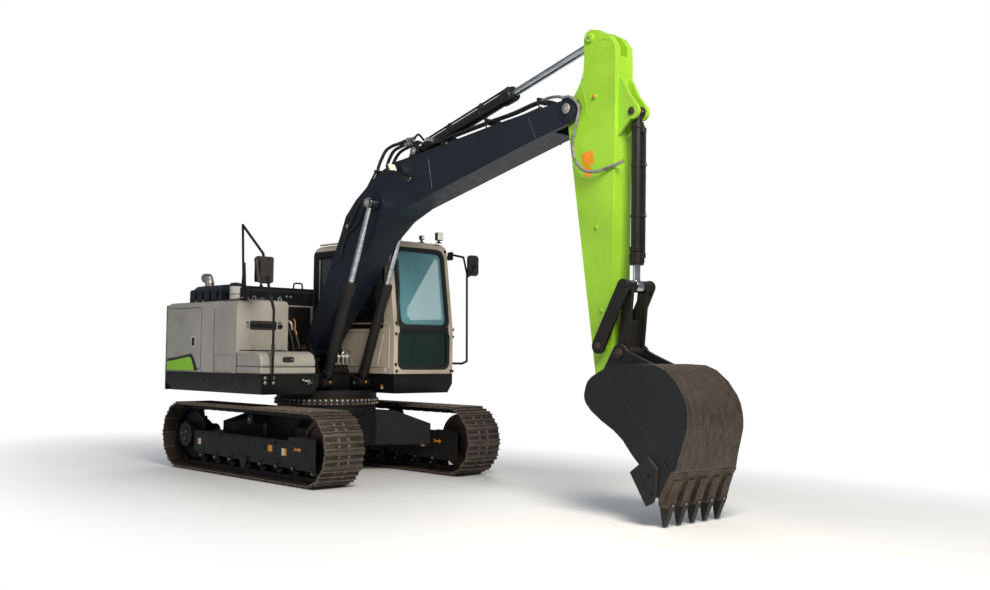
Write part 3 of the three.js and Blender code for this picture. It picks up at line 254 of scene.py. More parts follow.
MAT = {
    # shell_paint is the cab's beige painted darker and greyer: a shaded copy of that paint, painted shade for the
    # shell's panels, whose sides face away from the key lamp
    "shell_paint": paint("shell_paint", (176, 170, 160), 0.34, dust=0.06, chips=0.12, grime=0.06, coat=0.2),
    "cab_paint": paint("cab_paint", (204, 190, 170), 0.34, dust=0.06, chips=0.12, grime=0.06, coat=0.2),
    "dark_paint": paint("dark_paint", (22, 20, 18), 0.40, dust=0.03, chips=0.15, grime=0.10),
    "hood_paint": paint("hood_paint", (26, 30, 35), 0.34, dust=0.08, chips=0.1, grime=0.06, coat=0.1),
    "boom_paint": paint("boom_paint", (24, 31, 41), 0.36, dust=0.04, chips=0.04, grime=0.05, coat=0.1),
    "arm_paint": paint("arm_paint", (146, 196, 44), 0.34, dust=0.02, chips=0.10, chip_colour=(90, 110, 40), grime=0.03,
                       coat=0.2),
    "frame_paint": paint("frame_paint", (20, 19, 18), 0.46, dust=0.04, chips=0.25, chip_colour=(98, 84, 70),
                         grime=0.15),
    "link_paint": paint("link_paint", (27, 25, 23), 0.42, dust=0.08, chips=0.4, chip_colour=(110, 88, 66), grime=0.15),
    "cylinder_paint": paint("cylinder_paint", (26, 24, 22), 0.36, dust=0.06, chips=0.2, grime=0.08, coat=0.1),
    "bucket_paint": paint("bucket_paint", (26, 28, 31), 0.44, dust=0.03, chips=0.4, chip_colour=(110, 100, 88),
                          grime=0.06),
    # inner_dark: near black for joints, holes, chain links and soot, and also for two sheets of painted shade, one
    # between the rollers and one in the engine bay
    "inner_dark": paint("inner_dark", (18, 17, 16), 0.55, dust=0.2, chips=0.2, grime=0.4),
    "engine_grey": paint("engine_grey", (92, 92, 90), 0.5, dust=0.4, chips=0.3, grime=0.5),
    "wrapper_steel": steel("wrapper_steel", (104, 92, 82), (62, 54, 48), (64, 50, 39), 0.25, 0.46, 0.55, (1.2, 3, 1.2),
                           0.12),
    "edge_steel": steel("edge_steel", (104, 92, 80), (54, 46, 39), (62, 47, 35), 0.3, 0.5, 0.6, bump=0.15),
    "track_steel": steel("track_steel", (92, 80, 70), (26, 23, 21), (46, 35, 27), 0.35, 0.5, 0.6,
                         worn=(196, 182, 164)),
    "bearing_steel": steel("bearing_steel", (86, 78, 70), (44, 40, 36), (70, 50, 36), 0.3, 0.5, 0.7),
    "exhaust_steel": steel("exhaust_steel", (205, 200, 192), (140, 132, 122), (120, 96, 74), 0.15, 0.28, 0.95,
                           bump=0.1),
    "bright_steel": steel("bright_steel", (214, 210, 202), (150, 144, 136), (120, 104, 84), 0.12, 0.3, 0.9, bump=0.1),
    "rod_chrome": chrome("rod_chrome"),
    "hose": rubber("hose"),
    "gasket": rubber("gasket", (20, 20, 20), 0.6),
    "plastic": rubber("plastic", (34, 32, 31), 0.45),
    "silver_hose": rubber("silver_hose", (86, 86, 84), 0.5),
    "glass": glass("glass", (150, 206, 200), 0.30),
    "clear_glass": glass("clear_glass", (134, 204, 214), 0.34),
    "green_glass": glass("green_glass", (20, 48, 36), 0.72),
    "dark_glass": glass("dark_glass", (16, 24, 28), 0.86),
    "lens": lens("lens", (236, 234, 222)),
    "mirror_face": chrome("mirror_face"),
    "orange": sticker("orange", (232, 142, 22)),
    "white": sticker("white", (226, 224, 214)),
    "lime": sticker("lime", (156, 222, 48)),
    "black": sticker("black", (26, 28, 32)),
    "red_cap": rubber("red_cap", (150, 52, 24), 0.4),
    "seat_cloth": cloth("seat_cloth", (44, 45, 48)),
    "seat_vinyl": cloth("seat_vinyl", (30, 30, 31)),
}

# ------------------------------------------------------------------ mesh tools


def smooth_path(points, per_span=6):
    """A curve through every point, as a list of closer points."""
    pts = [Vector(p) for p in points]
    ends = [pts[0] * 2 - pts[1]] + pts + [pts[-1] * 2 - pts[-2]]
    out = []
    for i in range(1, len(ends) - 2):
        a, b, c, d = ends[i - 1:i + 3]
        for k in range(per_span):
            t = k / per_span
            out.append(0.5 * ((2 * b) + (c - a) * t + (2 * a - 5 * b + 4 * c - d) * t * t
                              + (3 * b - a - 3 * c + d) * t ** 3))
    return out + [pts[-1]]


def axes_for(direction):
    direction = Vector(direction).normalized()
    side = direction.cross((0, 0, 1))
    if side.length < 1e-3:
        side = direction.cross((0, 1, 0))
    side.normalize()
    return direction, side, side.cross(direction).normalized()


class Piece:
    """A joined mesh. Everything is given in the frame's millimetres."""

    def __init__(self, name, body, material, frame_matrix=MACHINE, slot=None):
        self.name, self.body, self.frame, self.slot_name = name, body, frame_matrix, slot
        self.materials = [material]
        self.verts, self.faces, self.tags = [], [], []

    def use(self, material):
        if material not in self.materials:
            self.materials.append(material)
        self.current = self.materials.index(material)
        return self

    current = 0

    def add(self, verts, faces):
        start = len(self.verts)
        self.verts += [self.frame @ Vector(v) for v in verts]
        self.faces += [[start + i for i in f] for f in faces]
        self.tags += [self.current] * len(faces)
        return self

    def box(self, x0, x1, y0, y1, z0, z1, c=2):
        """A box with every edge cut back by c."""
        limits = ((x0, x1), (y0, y1), (z0, z1))
        c = min([c] + [0.49 * abs(b - a) for a, b in limits])
        verts, index = [], {}
        for corner in range(8):
            bits = [(corner >> k) & 1 for k in range(3)]
            for k in range(3):
                p = [limits[j][bits[j]] + (0 if j == k else (c if bits[j] == 0 else -c)) for j in range(3)]
                index[corner, k] = len(verts)
                verts.append(p)
        faces = []
        for k in range(3):
            i, j = [a for a in range(3) if a != k]
            for side in (0, 1):
                ring = [(side << k) | (bi << i) | (bj << j) for bi, bj in ((0, 0), (1, 0), (1, 1), (0, 1))]
                faces.append([index[r, k] for r in ring])
            for bi in (0, 1):
                for bj in (0, 1):
                    a = (bi << i) | (bj << j)
                    b = a | (1 << k)
                    faces.append([index[a, i], index[a, j], index[b, j], index[b, i]])
        faces += [[index[corner, k] for k in range(3)] for corner in range(8)]
        return self.add(verts, faces)

    def plate(self, outline, a, b, plane="xz", c=0):
        """An outline given thickness, from a to b square to its plane, with its two rims cut back by c."""
        n = len(outline)
        middle = (sum(p[0] for p in outline) / n, sum(p[1] for p in outline) / n)

        def at(p, t, inset):
            if inset:
                away = Vector((p[0] - middle[0], p[1] - middle[1]))
                away = away * (1 - inset / max(away.length, inset * 2))
                p = (middle[0] + away.x, middle[1] + away.y)
            return {"xz": (p[0], t, p[1]), "xy": (p[0], p[1], t), "yz": (t, p[0], p[1])}[plane]

        step = c if b > a else -c
        rings = [(a, c), (a + step, 0), (b - step, 0), (b, c)] if c else [(a, 0), (b, 0)]
        verts = [at(p, t, inset) for t, inset in rings for p in outline]
        faces = [list(range(n)), list(range((len(rings) - 1) * n, len(rings) * n))]
        for r in range(len(rings) - 1):
            faces += [[r * n + i, r * n + (i + 1) % n, (r + 1) * n + (i + 1) % n, (r + 1) * n + i] for i in range(n)]
        return self.add(verts, faces)

    def lathe(self, start, direction, profile, sides=20):
        """Turned about a line: profile is (distance along it, radius)."""
        along, u, v = axes_for(direction)
        start = Vector(start)
        verts = []
        for distance, radius in profile:
            for k in range(sides):
                angle = 2 * math.pi * k / sides
                verts.append(start + along * distance + (u * math.cos(angle) + v * math.sin(angle)) * radius)
        n = sides
        faces = [list(range(n)), list(range((len(profile) - 1) * n, len(profile) * n))]
        for r in range(len(profile) - 1):
            faces += [[r * n + i, r * n + (i + 1) % n, (r + 1) * n + (i + 1) % n, (r + 1) * n + i] for i in range(n)]
        return self.add(verts, faces)

    def rod(self, a, b, radius, sides=12, c=2):
        a, b = Vector(a), Vector(b)
        length = (b - a).length
        c = min(c, radius * 0.4, length * 0.3)
        return self.lathe(a, b - a, [(0, radius - c), (c, radius), (length - c, radius), (length, radius - c)], sides)

    def bolt(self, at, direction, radius, height=None):
        height = height or radius * 0.8
        self.lathe(at, direction, [(-1, radius * 1.45), (height * 0.18, radius * 1.45), (height * 0.2, radius * 1.4)],
                   12)
        return self.lathe(at, direction, [(0, radius), (height * 0.85, radius), (height, radius * 0.8)], 6)

    def tube(self, points, radius, sides=10, per_span=6, straight=False):
        """A pipe or hose through the points."""
        path = [Vector(p) for p in points] if straight else smooth_path(points, per_span)
        verts, side = [], None
        for i, p in enumerate(path):
            run = (path[min(i + 1, len(path) - 1)] - path[max(i - 1, 0)]).normalized()
            if side is None:
                side = axes_for(run)[1]
            side = (side - run * side.dot(run)).normalized()
            other = run.cross(side)
            r = radius(i / (len(path) - 1)) if callable(radius) else radius
            for k in range(sides):
                angle = 2 * math.pi * k / sides
                verts.append(p + (side * math.cos(angle) + other * math.sin(angle)) * r)
        n = sides
        faces = [list(range(n)), list(range((len(path) - 1) * n, len(path) * n))]
        for s in range(len(path) - 1):
            faces += [[s * n + i, s * n + (i + 1) % n, (s + 1) * n + (i + 1) % n, (s + 1) * n + i] for i in range(n)]
        return self.add(verts, faces)

    def ball(self, at, radius, sides=14):
        profile = [(radius * (1 - math.cos(math.pi * k / 8)), max(0.5, radius * math.sin(math.pi * k / 8)))
                   for k in range(9)]
        return self.lathe(Vector(at) - Vector((0, 0, radius)), (0, 0, 1), profile, sides)

    def done(self, replaced=(), bevel=0.0, crease=35, across=None):
        mesh = bpy.data.meshes.new(self.name)
        mesh.from_pydata([tuple(v) for v in self.verts], [], self.faces)
        for m in self.materials:
            mesh.materials.append(MAT[m])
        mesh.polygons.foreach_set("material_index", self.tags)
        bm = bmesh.new()
        bm.from_mesh(mesh)
        bmesh.ops.recalc_face_normals(bm, faces=bm.faces)
        bm.to_mesh(mesh)
        bm.free()
        thing = bpy.data.objects.new(self.name, mesh)
        bpy.context.scene.collection.objects.link(thing)
        finish_mesh(thing, bevel, crease)
        if across:
            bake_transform(thing)
        else:
            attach(thing, self.body)
        if replaced:
            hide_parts(*replaced)
        return thing


def finish_mesh(thing, bevel, crease):
    mesh = thing.data
    mesh.shade_smooth()
    mesh.set_sharp_from_angle(angle=math.radians(crease))
    if bevel:
        rounding = thing.modifiers.new("rounded", "BEVEL")
        rounding.width = bevel
        rounding.segments = 2
        rounding.limit_method = "ANGLE"
        rounding.angle_limit = math.radians(crease)
        rounding.harden_normals = True


def refine(node, material, width=6.0, segments=3, angle=32, paint_faces=None):
    """A copy of a CAD node with its hard edges rounded, which stands for the node."""
    source = frame["nodes"][node]
    mesh = source.data.copy()
    mesh.name = node + "_shell"
    mesh.materials.clear()
    materials = [material] + ([paint_faces[0]] if paint_faces else [])
    for m in materials:
        mesh.materials.append(MAT[m])
    bm = bmesh.new()
    bm.from_mesh(mesh)
    bmesh.ops.remove_doubles(bm, verts=bm.verts, dist=2e-5)
    bmesh.ops.dissolve_limit(bm, angle_limit=math.radians(0.6), verts=bm.verts, edges=bm.edges)
    bmesh.ops.recalc_face_normals(bm, faces=bm.faces)
    limit = math.radians(angle)
    sharp = [e for e in bm.edges if len(e.link_faces) == 2 and e.calc_face_angle(0) > limit]
    if width:
        bmesh.ops.bevel(bm, geom=sharp, offset=width / 1000, segments=segments, profile=0.5, affect="EDGES",
                        clamp_overlap=True, offset_type="OFFSET")
    for f in bm.faces:
        f.material_index = 0
        f.smooth = True
        if paint_faces and paint_faces[1](f):
            f.material_index = 1
    bm.to_mesh(mesh)
    bm.free()
    thing = bpy.data.objects.new(node + "_shell", mesh)
    bpy.context.scene.collection.objects.link(thing)
    mesh.set_sharp_from_angle(angle=math.radians(40))
    weighted = thing.modifiers.new("weighted", "WEIGHTED_NORMAL")
    weighted.keep_sharp = True
    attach(thing, body_of_node[node])
    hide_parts(node)
    return thing


def dress(node, material):
    """Gives a CAD node that shows as it is a better finish."""
    mesh = frame["nodes"][node].data
    mesh.materials.clear()
    mesh.materials.append(MAT[material])
    mesh.shade_smooth()
    mesh.set_sharp_from_angle(angle=math.radians(32))

# ------------------------------------------------------------------ shared shapes


def arc(x, z, radius, start, end, steps):
    return [(x + radius * math.cos(math.radians(start + (end - start) * i / steps)),
             z + radius * math.sin(math.radians(start + (end - start) * i / steps))) for i in range(steps + 1)]


def rounded(x0, x1, z0, z1, radius, steps=5):
    """A rectangle with rounded corners, anticlockwise from its right side's foot."""
    r = radius
    return (arc(x1 - r, z0 + r, r, -90, 0, steps) + arc(x1 - r, z1 - r, r, 0, 90, steps)
            + arc(x0 + r, z1 - r, r, 90, 180, steps) + arc(x0 + r, z0 + r, r, 180, 270, steps))


def surface(node, at, direction):
    """Where a line from a point in the machine's millimetres first meets a CAD node."""
    mesh = frame["nodes"][node].data
    if node not in trees:
        trees[node] = BVHTree.FromPolygons([v.co for v in mesh.vertices], [f.vertices for f in mesh.polygons])
    place = trees[node].ray_cast(MACHINE @ Vector(at), Vector(direction))[0]
    return MACHINE.inverted() @ place if place else Vector(at)


trees = {}


def ring(piece, *loops):
    """A closed band through loops of points that have the same count."""
    n = len(loops[0])
    verts = [p for loop in loops for p in loop]
    faces = []
    for r in range(len(loops)):
        s = (r + 1) % len(loops)
        faces += [[r * n + i, r * n + (i + 1) % n, s * n + (i + 1) % n, s * n + i] for i in range(n)]
    return piece.add(verts, faces)


def cable_clamp(piece, at, across, up, width, height):
    """A block that holds pipes, with its bolt."""
    at, across, up = Vector(at), Vector(across).normalized(), Vector(up).normalized()
    along = across.cross(up)
    corners = [at + across * (sx * width / 2) + up * (sz * height / 2) + along * (sy * 14)
               for sx in (-1, 1) for sy in (-1, 1) for sz in (-1, 1)]
    faces = [[0, 1, 3, 2], [4, 6, 7, 5], [0, 4, 5, 1], [2, 3, 7, 6], [0, 2, 6, 4], [1, 5, 7, 3]]
    piece.add(corners, faces)
    return piece.bolt(at + up * (height / 2), up, 8, 8)


# ------------------------------------------------------------------ undercarriage

TRACK_Y = 995
AXLE_X, AXLE_Z, PITCH_RADIUS, SHOES = 1368, 405, 375, 44
FRAME_FACE = 130         # from a track's middle to its frame's outer face
ROLLERS = [-996 + 332 * i for i in range(7)]


def track_point(way):
    """Place and outward direction at a distance along the chain's loop."""
    straight, bend = 2 * AXLE_X, math.pi * PITCH_RADIUS
    way %= 2 * (straight + bend)
    if way < straight:
        return Vector((way - AXLE_X, 0, AXLE_Z + PITCH_RADIUS)), 90
    way -= straight
    if way < bend:
        turn = 90 - math.degrees(way / PITCH_RADIUS)
        centre = AXLE_X
    else:
        way -= bend
        if way < straight:
            return Vector((AXLE_X - way, 0, AXLE_Z - PITCH_RADIUS)), -90
        turn = -90 - math.degrees((way - straight) / PITCH_RADIUS)
        centre = -AXLE_X
    out = math.radians(turn)
    return Vector((centre + PITCH_RADIUS * math.cos(out), 0, AXLE_Z + PITCH_RADIUS * math.sin(out))), turn


def build_tracks():
    pitch = 2 * (2 * AXLE_X + math.pi * PITCH_RADIUS) / SHOES
    tread = [(-92, 1), (-92, 9), (-84, 12), (-79, 29), (-68, 29), (-62, 12), (-10, 10), (-5, 29), (6, 29), (11, 10),
             (58, 12), (64, 29), (75, 29), (80, 12), (90, 7), (90, 1)]
    link = [(-98, -50), (-80, -59), (40, -59), (96, -44), (98, -12), (70, 0), (-70, 0), (-98, -14)]
    for side, hand in ((-1, "right"), (1, "left")):
        p = Piece("track_" + hand + "_shoes", "undercarriage", "track_steel")
        for i in range(SHOES):
            at, turn = track_point(i * pitch + 40)
            out = Vector((math.cos(math.radians(turn)), 0, math.sin(math.radians(turn))))
            along = Vector((out.z, 0, -out.x))
            middle = Vector((0, side * TRACK_Y, 0)) + at
            jitter = random.uniform(-1.0, 1.0)

            def put(outline, y0, y1, cut=0):
                n = len(outline)
                rims = [(y0, cut), (y0 + cut, 0), (y1 - cut, 0), (y1, cut)] if cut else [(y0, 0), (y1, 0)]
                verts = [middle + along * a + out * (b - inset * 0.4) + Vector((0, y, 0))
                         for y, inset in rims for a, b in outline]
                faces = [list(range(n)), list(range((len(rims) - 1) * n, len(rims) * n))]
                for r in range(len(rims) - 1):
                    faces += [[r * n + k, r * n + (k + 1) % n, (r + 1) * n + (k + 1) % n, (r + 1) * n + k]
                              for k in range(n)]
                p.add(verts, faces)

            p.use("track_steel")
            put(tread, -250 + jitter, 250 + jitter, 5)
            for x, y in ((-34, -62), (-34, 62), (34, -62), (34, 62)):
                p.bolt(middle + along * x + out * 11 + Vector((0, y, 0)), out, 11, 9)
            p.use("inner_dark")
            for y0, y1 in ((-80, -52), (52, 80)):
                put(link, y0, y1, 3)
            pin = middle - out * 30 + along * 88
            p.rod(pin - Vector((0, 82, 0)), pin + Vector((0, 82, 0)), 19, 10)
        p.done(["track_" + hand], crease=30)


def roller_end(p, x, z, y, side, radius):
    """The collar and cap that show where a roller's shaft comes through."""
    p.use("frame_paint")
    p.lathe((x, y - side * 30, z), (0, side, 0), [(0, radius + 16), (18, radius + 14), (26, radius), (40, radius - 4),
                                                  (44, radius * 0.6)], 18)
    p.use("bright_steel").bolt((x, y + side * 14, z), (0, side, 0), 7, 6)


def arrow(p, x, z, y, side):
    p.plate([(x + a * 0.9, z + b * 0.9) for a, b in [(-80, -34), (-44, -10), (26, -10), (26, -32), (76, 0), (26, 32),
                                                     (26, 10), (-44, 10), (-80, 34), (-58, 0)]],
            y, y + side * 1.5)


def build_undercarriage():
    for side, hand in ((-1, "right"), (1, "left")):
        refine("track_frame_" + hand, "frame_paint", 7)
        refine("sprocket_" + hand, "frame_paint", 4, 2)
        refine("idler_" + hand, "track_steel", 8)
        face = side * (TRACK_Y + FRAME_FACE)
        inner = side * (TRACK_Y - FRAME_FACE)
        p = Piece("track_frame_fittings_" + hand, "undercarriage", "frame_paint")
        for y, s in ((face, side), (inner, -side)):
            for x in ROLLERS:
                roller_end(p, x, 176, y, s, 36)
                p.use("frame_paint").box(x - 62, x + 62, *sorted((y + s * 0.5, y + s * 12)), 208, 236, 4)
                for d in (-44, 44):
                    p.use("bearing_steel").bolt((x + d, y + s * 12, 222), (0, s, 0), 9, 8)
            # chain guard in the middle of the frame
            p.use("frame_paint").plate([(-76, 232), (76, 232), (54, 132), (30, 96), (-30, 96), (-54, 132)],
                                       y + s * 1, y + s * 24, c=4)
            p.use("bearing_steel").bolt((-40, y + s * 24, 200), (0, s, 0), 11, 9)
            p.bolt((40, y + s * 24, 200), (0, s, 0), 11, 9)
            # upper rib along the frame, with the two welded straps and the slot of the track adjuster
            p.use("frame_paint").box(-1050, 930, *sorted((y - s * 40, y + s * 9)), 446, 470, 6)
            p.use("frame_paint").box(900, 1425, *sorted((y - s * 2, y + s * 7)), 190, 512, 6)
            p.box(-640, -560, *sorted((y, y + s * 14)), 420, 476, 5)
            p.box(560, 640, *sorted((y, y + s * 14)), 420, 476, 5)
            p.use("inner_dark").plate(rounded(372, 418, 330, 410, 18), y, y + s * 3)
            p.plate(rounded(1185, 1262, 360, 396, 17), y + s * 2, y + s * 9)
            p.use("orange")
            arrow(p, 1085, 381, y + s * 7.2, s)
            p.use("orange").box(-1090, -1054, *sorted((y, y + s * 2)), 302, 374, 0.5)
            p.use("white").box(-1054, -1012, *sorted((y, y + s * 2)), 302, 374, 0.5)
            p.use("orange").box(490, 580, *sorted((y, y + s * 2)), 326, 396, 0.5)
            p.use("white").box(770, 820, *sorted((y, y + s * 2)), 300, 378, 0.5)
            p.use("orange").box(820, 866, *sorted((y, y + s * 2)), 300, 378, 0.5)
        # a near-black plate along each track's middle, seen only between the rollers: painted shade of the gap behind
        # them
        p.use("inner_dark").box(-1130, 1130, side * TRACK_Y - 8, side * TRACK_Y + 8, 100, 300, 2)
        # carrier roller on its bracket
        cx, cz = 70, AXLE_Z + 315 - 60
        p.use("frame_paint").lathe((cx, face - side * 44, cz), (0, side, 0),
                                   [(0, 54), (10, 60), (26, 60), (32, 46), (38, 30)], 20)
        p.use("bright_steel").bolt((cx, face - side * 6, cz), (0, side, 0), 9, 7)
        # hub cover of the drive
        hub = face + side * 12
        p.use("frame_paint").lathe((-AXLE_X, hub - side * 4, AXLE_Z), (0, side, 0),
                                   [(0, 152), (8, 152), (16, 146), (18, 96), (26, 92), (30, 60), (31, 0.5)], 36)
        p.use("bearing_steel")
        for k in range(12):
            a = math.radians(30 * k)
            p.bolt((-AXLE_X + 124 * math.cos(a), hub + side * 12, AXLE_Z + 124 * math.sin(a)), (0, side, 0), 9, 7)
        for k in range(3):
            a = math.radians(120 * k + 40)
            p.use("bright_steel").bolt((-AXLE_X + 52 * math.cos(a), hub + side * 24, AXLE_Z + 52 * math.sin(a)),
                                       (0, side, 0), 9, 6)
        p.done(crease=32)
    refine("car_body", "frame_paint", 9)
    refine("swing_bearing", "bearing_steel", 3)
    p = Piece("bearing_bolts", "undercarriage", "bright_steel")
    for k in range(60):
        a = math.radians(6 * k)
        away = Vector((math.cos(a), math.sin(a), 0))
        p.bolt(away * 613 + Vector((0, 0, 829)), away, 10, 22)
        p.bolt(away * 624 + Vector((0, 0, 868)), away, 9, 8)
    for k in range(16):
        a = math.radians(22.5 * k + 7)
        p.use("bearing_steel").bolt((585 * math.cos(a), 585 * math.sin(a), 741), (0, 0, 1), 13, 12)
    p.done()
    p = Piece("car_body_welds", "undercarriage", "frame_paint")
    for sx in (-1, 1):
        for sy in (-1, 1):
            p.tube([(sx * 650, sy * 862, 335), (sx * 660, sy * 862, 460), (sx * 650, sy * 862, 580)], 9, 6)
            p.tube([(sx * 930, sy * 862, 335), (sx * 934, sy * 862, 460), (sx * 930, sy * 862, 580)], 9, 6)
    p.use("hose")
    for y in (-90, -40, 40, 90):
        hand = math.copysign(1, y)
        p.tube([(-470, y * 0.8, 640), (-640, y * 1.4, 560), (-860, y * 1.6 + hand * 230, 505),
                (-1080, y * 1.2 + hand * 540, 458), (-1230, y * 0.6 + hand * 760, 432),
                (-1290 + 0.7 * abs(y), hand * 876, 428)], 15, 8)
    p.done()


build_tracks()
build_undercarriage()

# ------------------------------------------------------------------ body


def seam(p, a, b, width=5):
    """A dark joint line between two panels, on the face it lies on."""
    a, b = Vector(a), Vector(b)
    flat = [abs(d) for d in (b - a)]
    side = a.y if abs(a.y) > 1200 else 0
    if side:
        y = (side - math.copysign(1, side), side + math.copysign(0.8, side))
        p.box(min(a.x, b.x) - width / 2, max(a.x, b.x) + width / 2, min(y), max(y), min(a.z, b.z) - width / 2,
              max(a.z, b.z) + width / 2, 0.3)
    else:
        p.box(a.x - 1, a.x + 0.8, min(a.y, b.y) - width / 2, max(a.y, b.y) + width / 2, min(a.z, b.z) - width / 2,
              max(a.z, b.z) + width / 2, 0.3)
    return flat


def swoosh(name, body, hand):
    """The lime field with its dark border, low on the rear panel."""
    side = -1 if hand == "right" else 1
    y = side * HALF
    p = Piece(name, body, "black")
    dark = [(-1700, 1196), (-1700, 1336), (-1500, 1352), (-1300, 1376), (-1130, 1398), (-1085, 1400), (-1050, 1384),
            (-1010, 1340), (-960, 1268), (-915, 1196)]
    p.plate(dark, y, y + side * 1.2)
    light = [(-1692, 1200), (-1692, 1300), (-1500, 1320), (-1300, 1343), (-1150, 1362), (-1110, 1358), (-1080, 1336),
             (-1040, 1270), (-1008, 1200)]
    p.use("lime").plate(light, y + side * 0.8, y + side * 2.2)
    p.done()


def latch(p, x, z, y, side):
    """A paddle latch in a pale frame."""
    outer = [Vector((x + a, y + side * 3, z + b)) for a, b in rounded(-52, 52, -66, 66, 12)]
    inner = [Vector((x + a, y + side * 3, z + b)) for a, b in rounded(-38, 38, -52, 52, 8)]
    p.use("white")
    ring(p, [v - Vector((0, side * 2.5, 0)) for v in outer], outer, inner,
         [v - Vector((0, side * 2.5, 0)) for v in inner])
    p.use("gasket").box(x - 40, x + 40, *sorted((y - side * 1, y + side * 1.4)), z - 54, z + 54, 1)
    p.use("plastic").box(x - 22, x + 22, *sorted((y + side * 1, y + side * 9)), z - 40, z + 30, 4)
    p.rod((x, y + side * 6, z + 14), (x, y + side * 12, z + 14), 11, 14)


def build_panels():
    refine("engine_house", "shell_paint", 24, 4)
    refine("fuel_tank", "shell_paint", 42, 5)
    refine("tool_box", "shell_paint", 18, 4)
    refine("tool_box_lid", "shell_paint", 26, 4)
    refine("counterweight", "dark_paint", 42, 4)
    refine("revolving_frame", "dark_paint", 20, 4)
    refine("engine", "engine_grey", 15)
    for hand, side in (("right", -1), ("left", 1)):
        node = "service_door_" + hand
        refine(node, "shell_paint", 6)
        swoosh("door_stripe_" + hand, node, hand)
        p = Piece("door_latch_" + hand, node, "white")
        latch(p, -1040 if hand == "right" else -960, 1545, side * HALF, side)
        p.done()
    p = Piece("house_seams", "upper", "inner_dark")
    seam(p, (-850, -HALF, 1190), (-850, -HALF, 1955), 6)
    seam(p, (-542, -HALF, 1190), (-542, -HALF, 1945), 7)
    for a, b in (((-520, 1390), (-120, 1390)), ((-520, 1192), (-120, 1192)), ((-520, 1192), (-520, 1390)),
                 ((-120, 1192), (-120, 1390))):
        seam(p, (a[0], -HALF, a[1]), (b[0], -HALF, b[1]), 4)
    seam(p, (-30, -HALF, 1188), (-30, -HALF, 1420), 6)
    p.use("shell_paint").box(-506, -134, -HALF - 2, -HALF + 1, 1206, 1376, 1)
    # screens in the left side, where the coolers breathe
    p.use("inner_dark").plate(rounded(-1560, -1120, 1440, 1860, 20), HALF - 1, HALF + 1)
    p.done()
    p = Piece("cooler_louvres", "service_door_left", "inner_dark")
    p.plate(rounded(-1585, -1075, 1440, 1860, 22), HALF - 0.5, HALF + 1.0)
    p.use("shell_paint")
    for i in range(13):
        z = 1462 + i * 31
        p.plate([(-1570, z), (-1090, z), (-1090, z + 17), (-1570, z + 17)], HALF + 0.5, HALF + 6, c=2)
    p.done()
    p = Piece("pump_louvres", "service_door_right", "shell_paint")
    for i in range(5):
        p.plate(rounded(-1575, -1300, 1760 + i * 30, 1776 + i * 30, 7), -HALF - 4, -HALF + 0.5, c=2)
    p.done()


def build_skirt():
    """The black edge of the deck: a bright upper lip, a bevel below it and the fittings on it."""
    p = Piece("deck_lip", "upper", "dark_paint")
    p.box(-1700, 500, -HALF - 3, -HALF + 6, 1166, 1180, 3)
    p.box(-1700, 900, HALF - 6, HALF + 3, 1166, 1180, 3)
    p.box(496, 505, -HALF + 4, -515, 1166, 1180, 3)
    p.box(899, 908, 335, HALF - 4, 1166, 1180, 3)
    p.done(crease=30)
    p = Piece("rail_foot", "upper", "dark_paint")
    p.plate(rounded(-1222, -1052, 1056, 1164, 20), 503, 513, plane="yz", c=2)
    p.use("bright_steel")
    for y in (-1192, -1088):
        for z in (1084, 1138):
            p.bolt((513, y, z), (1, 0, 0), 14, 12)
    p.done()
    p = Piece("tie_down_hook", "upper", "dark_paint")
    p.plate(rounded(-700, -552, 1050, 1130, 12), 503, 508, plane="yz", c=1)
    p.use("bright_steel")
    p.tube([(508, -690, 1108), (534, -672, 1104), (548, -640, 1094), (546, -606, 1082), (528, -588, 1074),
            (508, -580, 1070)], 11, 10)
    p.ball((514, -692, 1110), 20)
    p.box(504, 530, -636, -600, 1060, 1120, 4)
    p.use("gasket").box(503, 540, -590, -566, 1052, 1126, 3)
    p.use("bright_steel").bolt((530, -618, 1092), (1, 0, 0), 11, 9)
    p.done()
    p = Piece("deck_stickers", "upper", "white")
    p.box(645, 685, 327.6, 329.2, 1000, 1022, 0.4)
    p.use("orange").box(645, 685, 327.6, 329.2, 1022, 1050, 0.4)
    p.done()


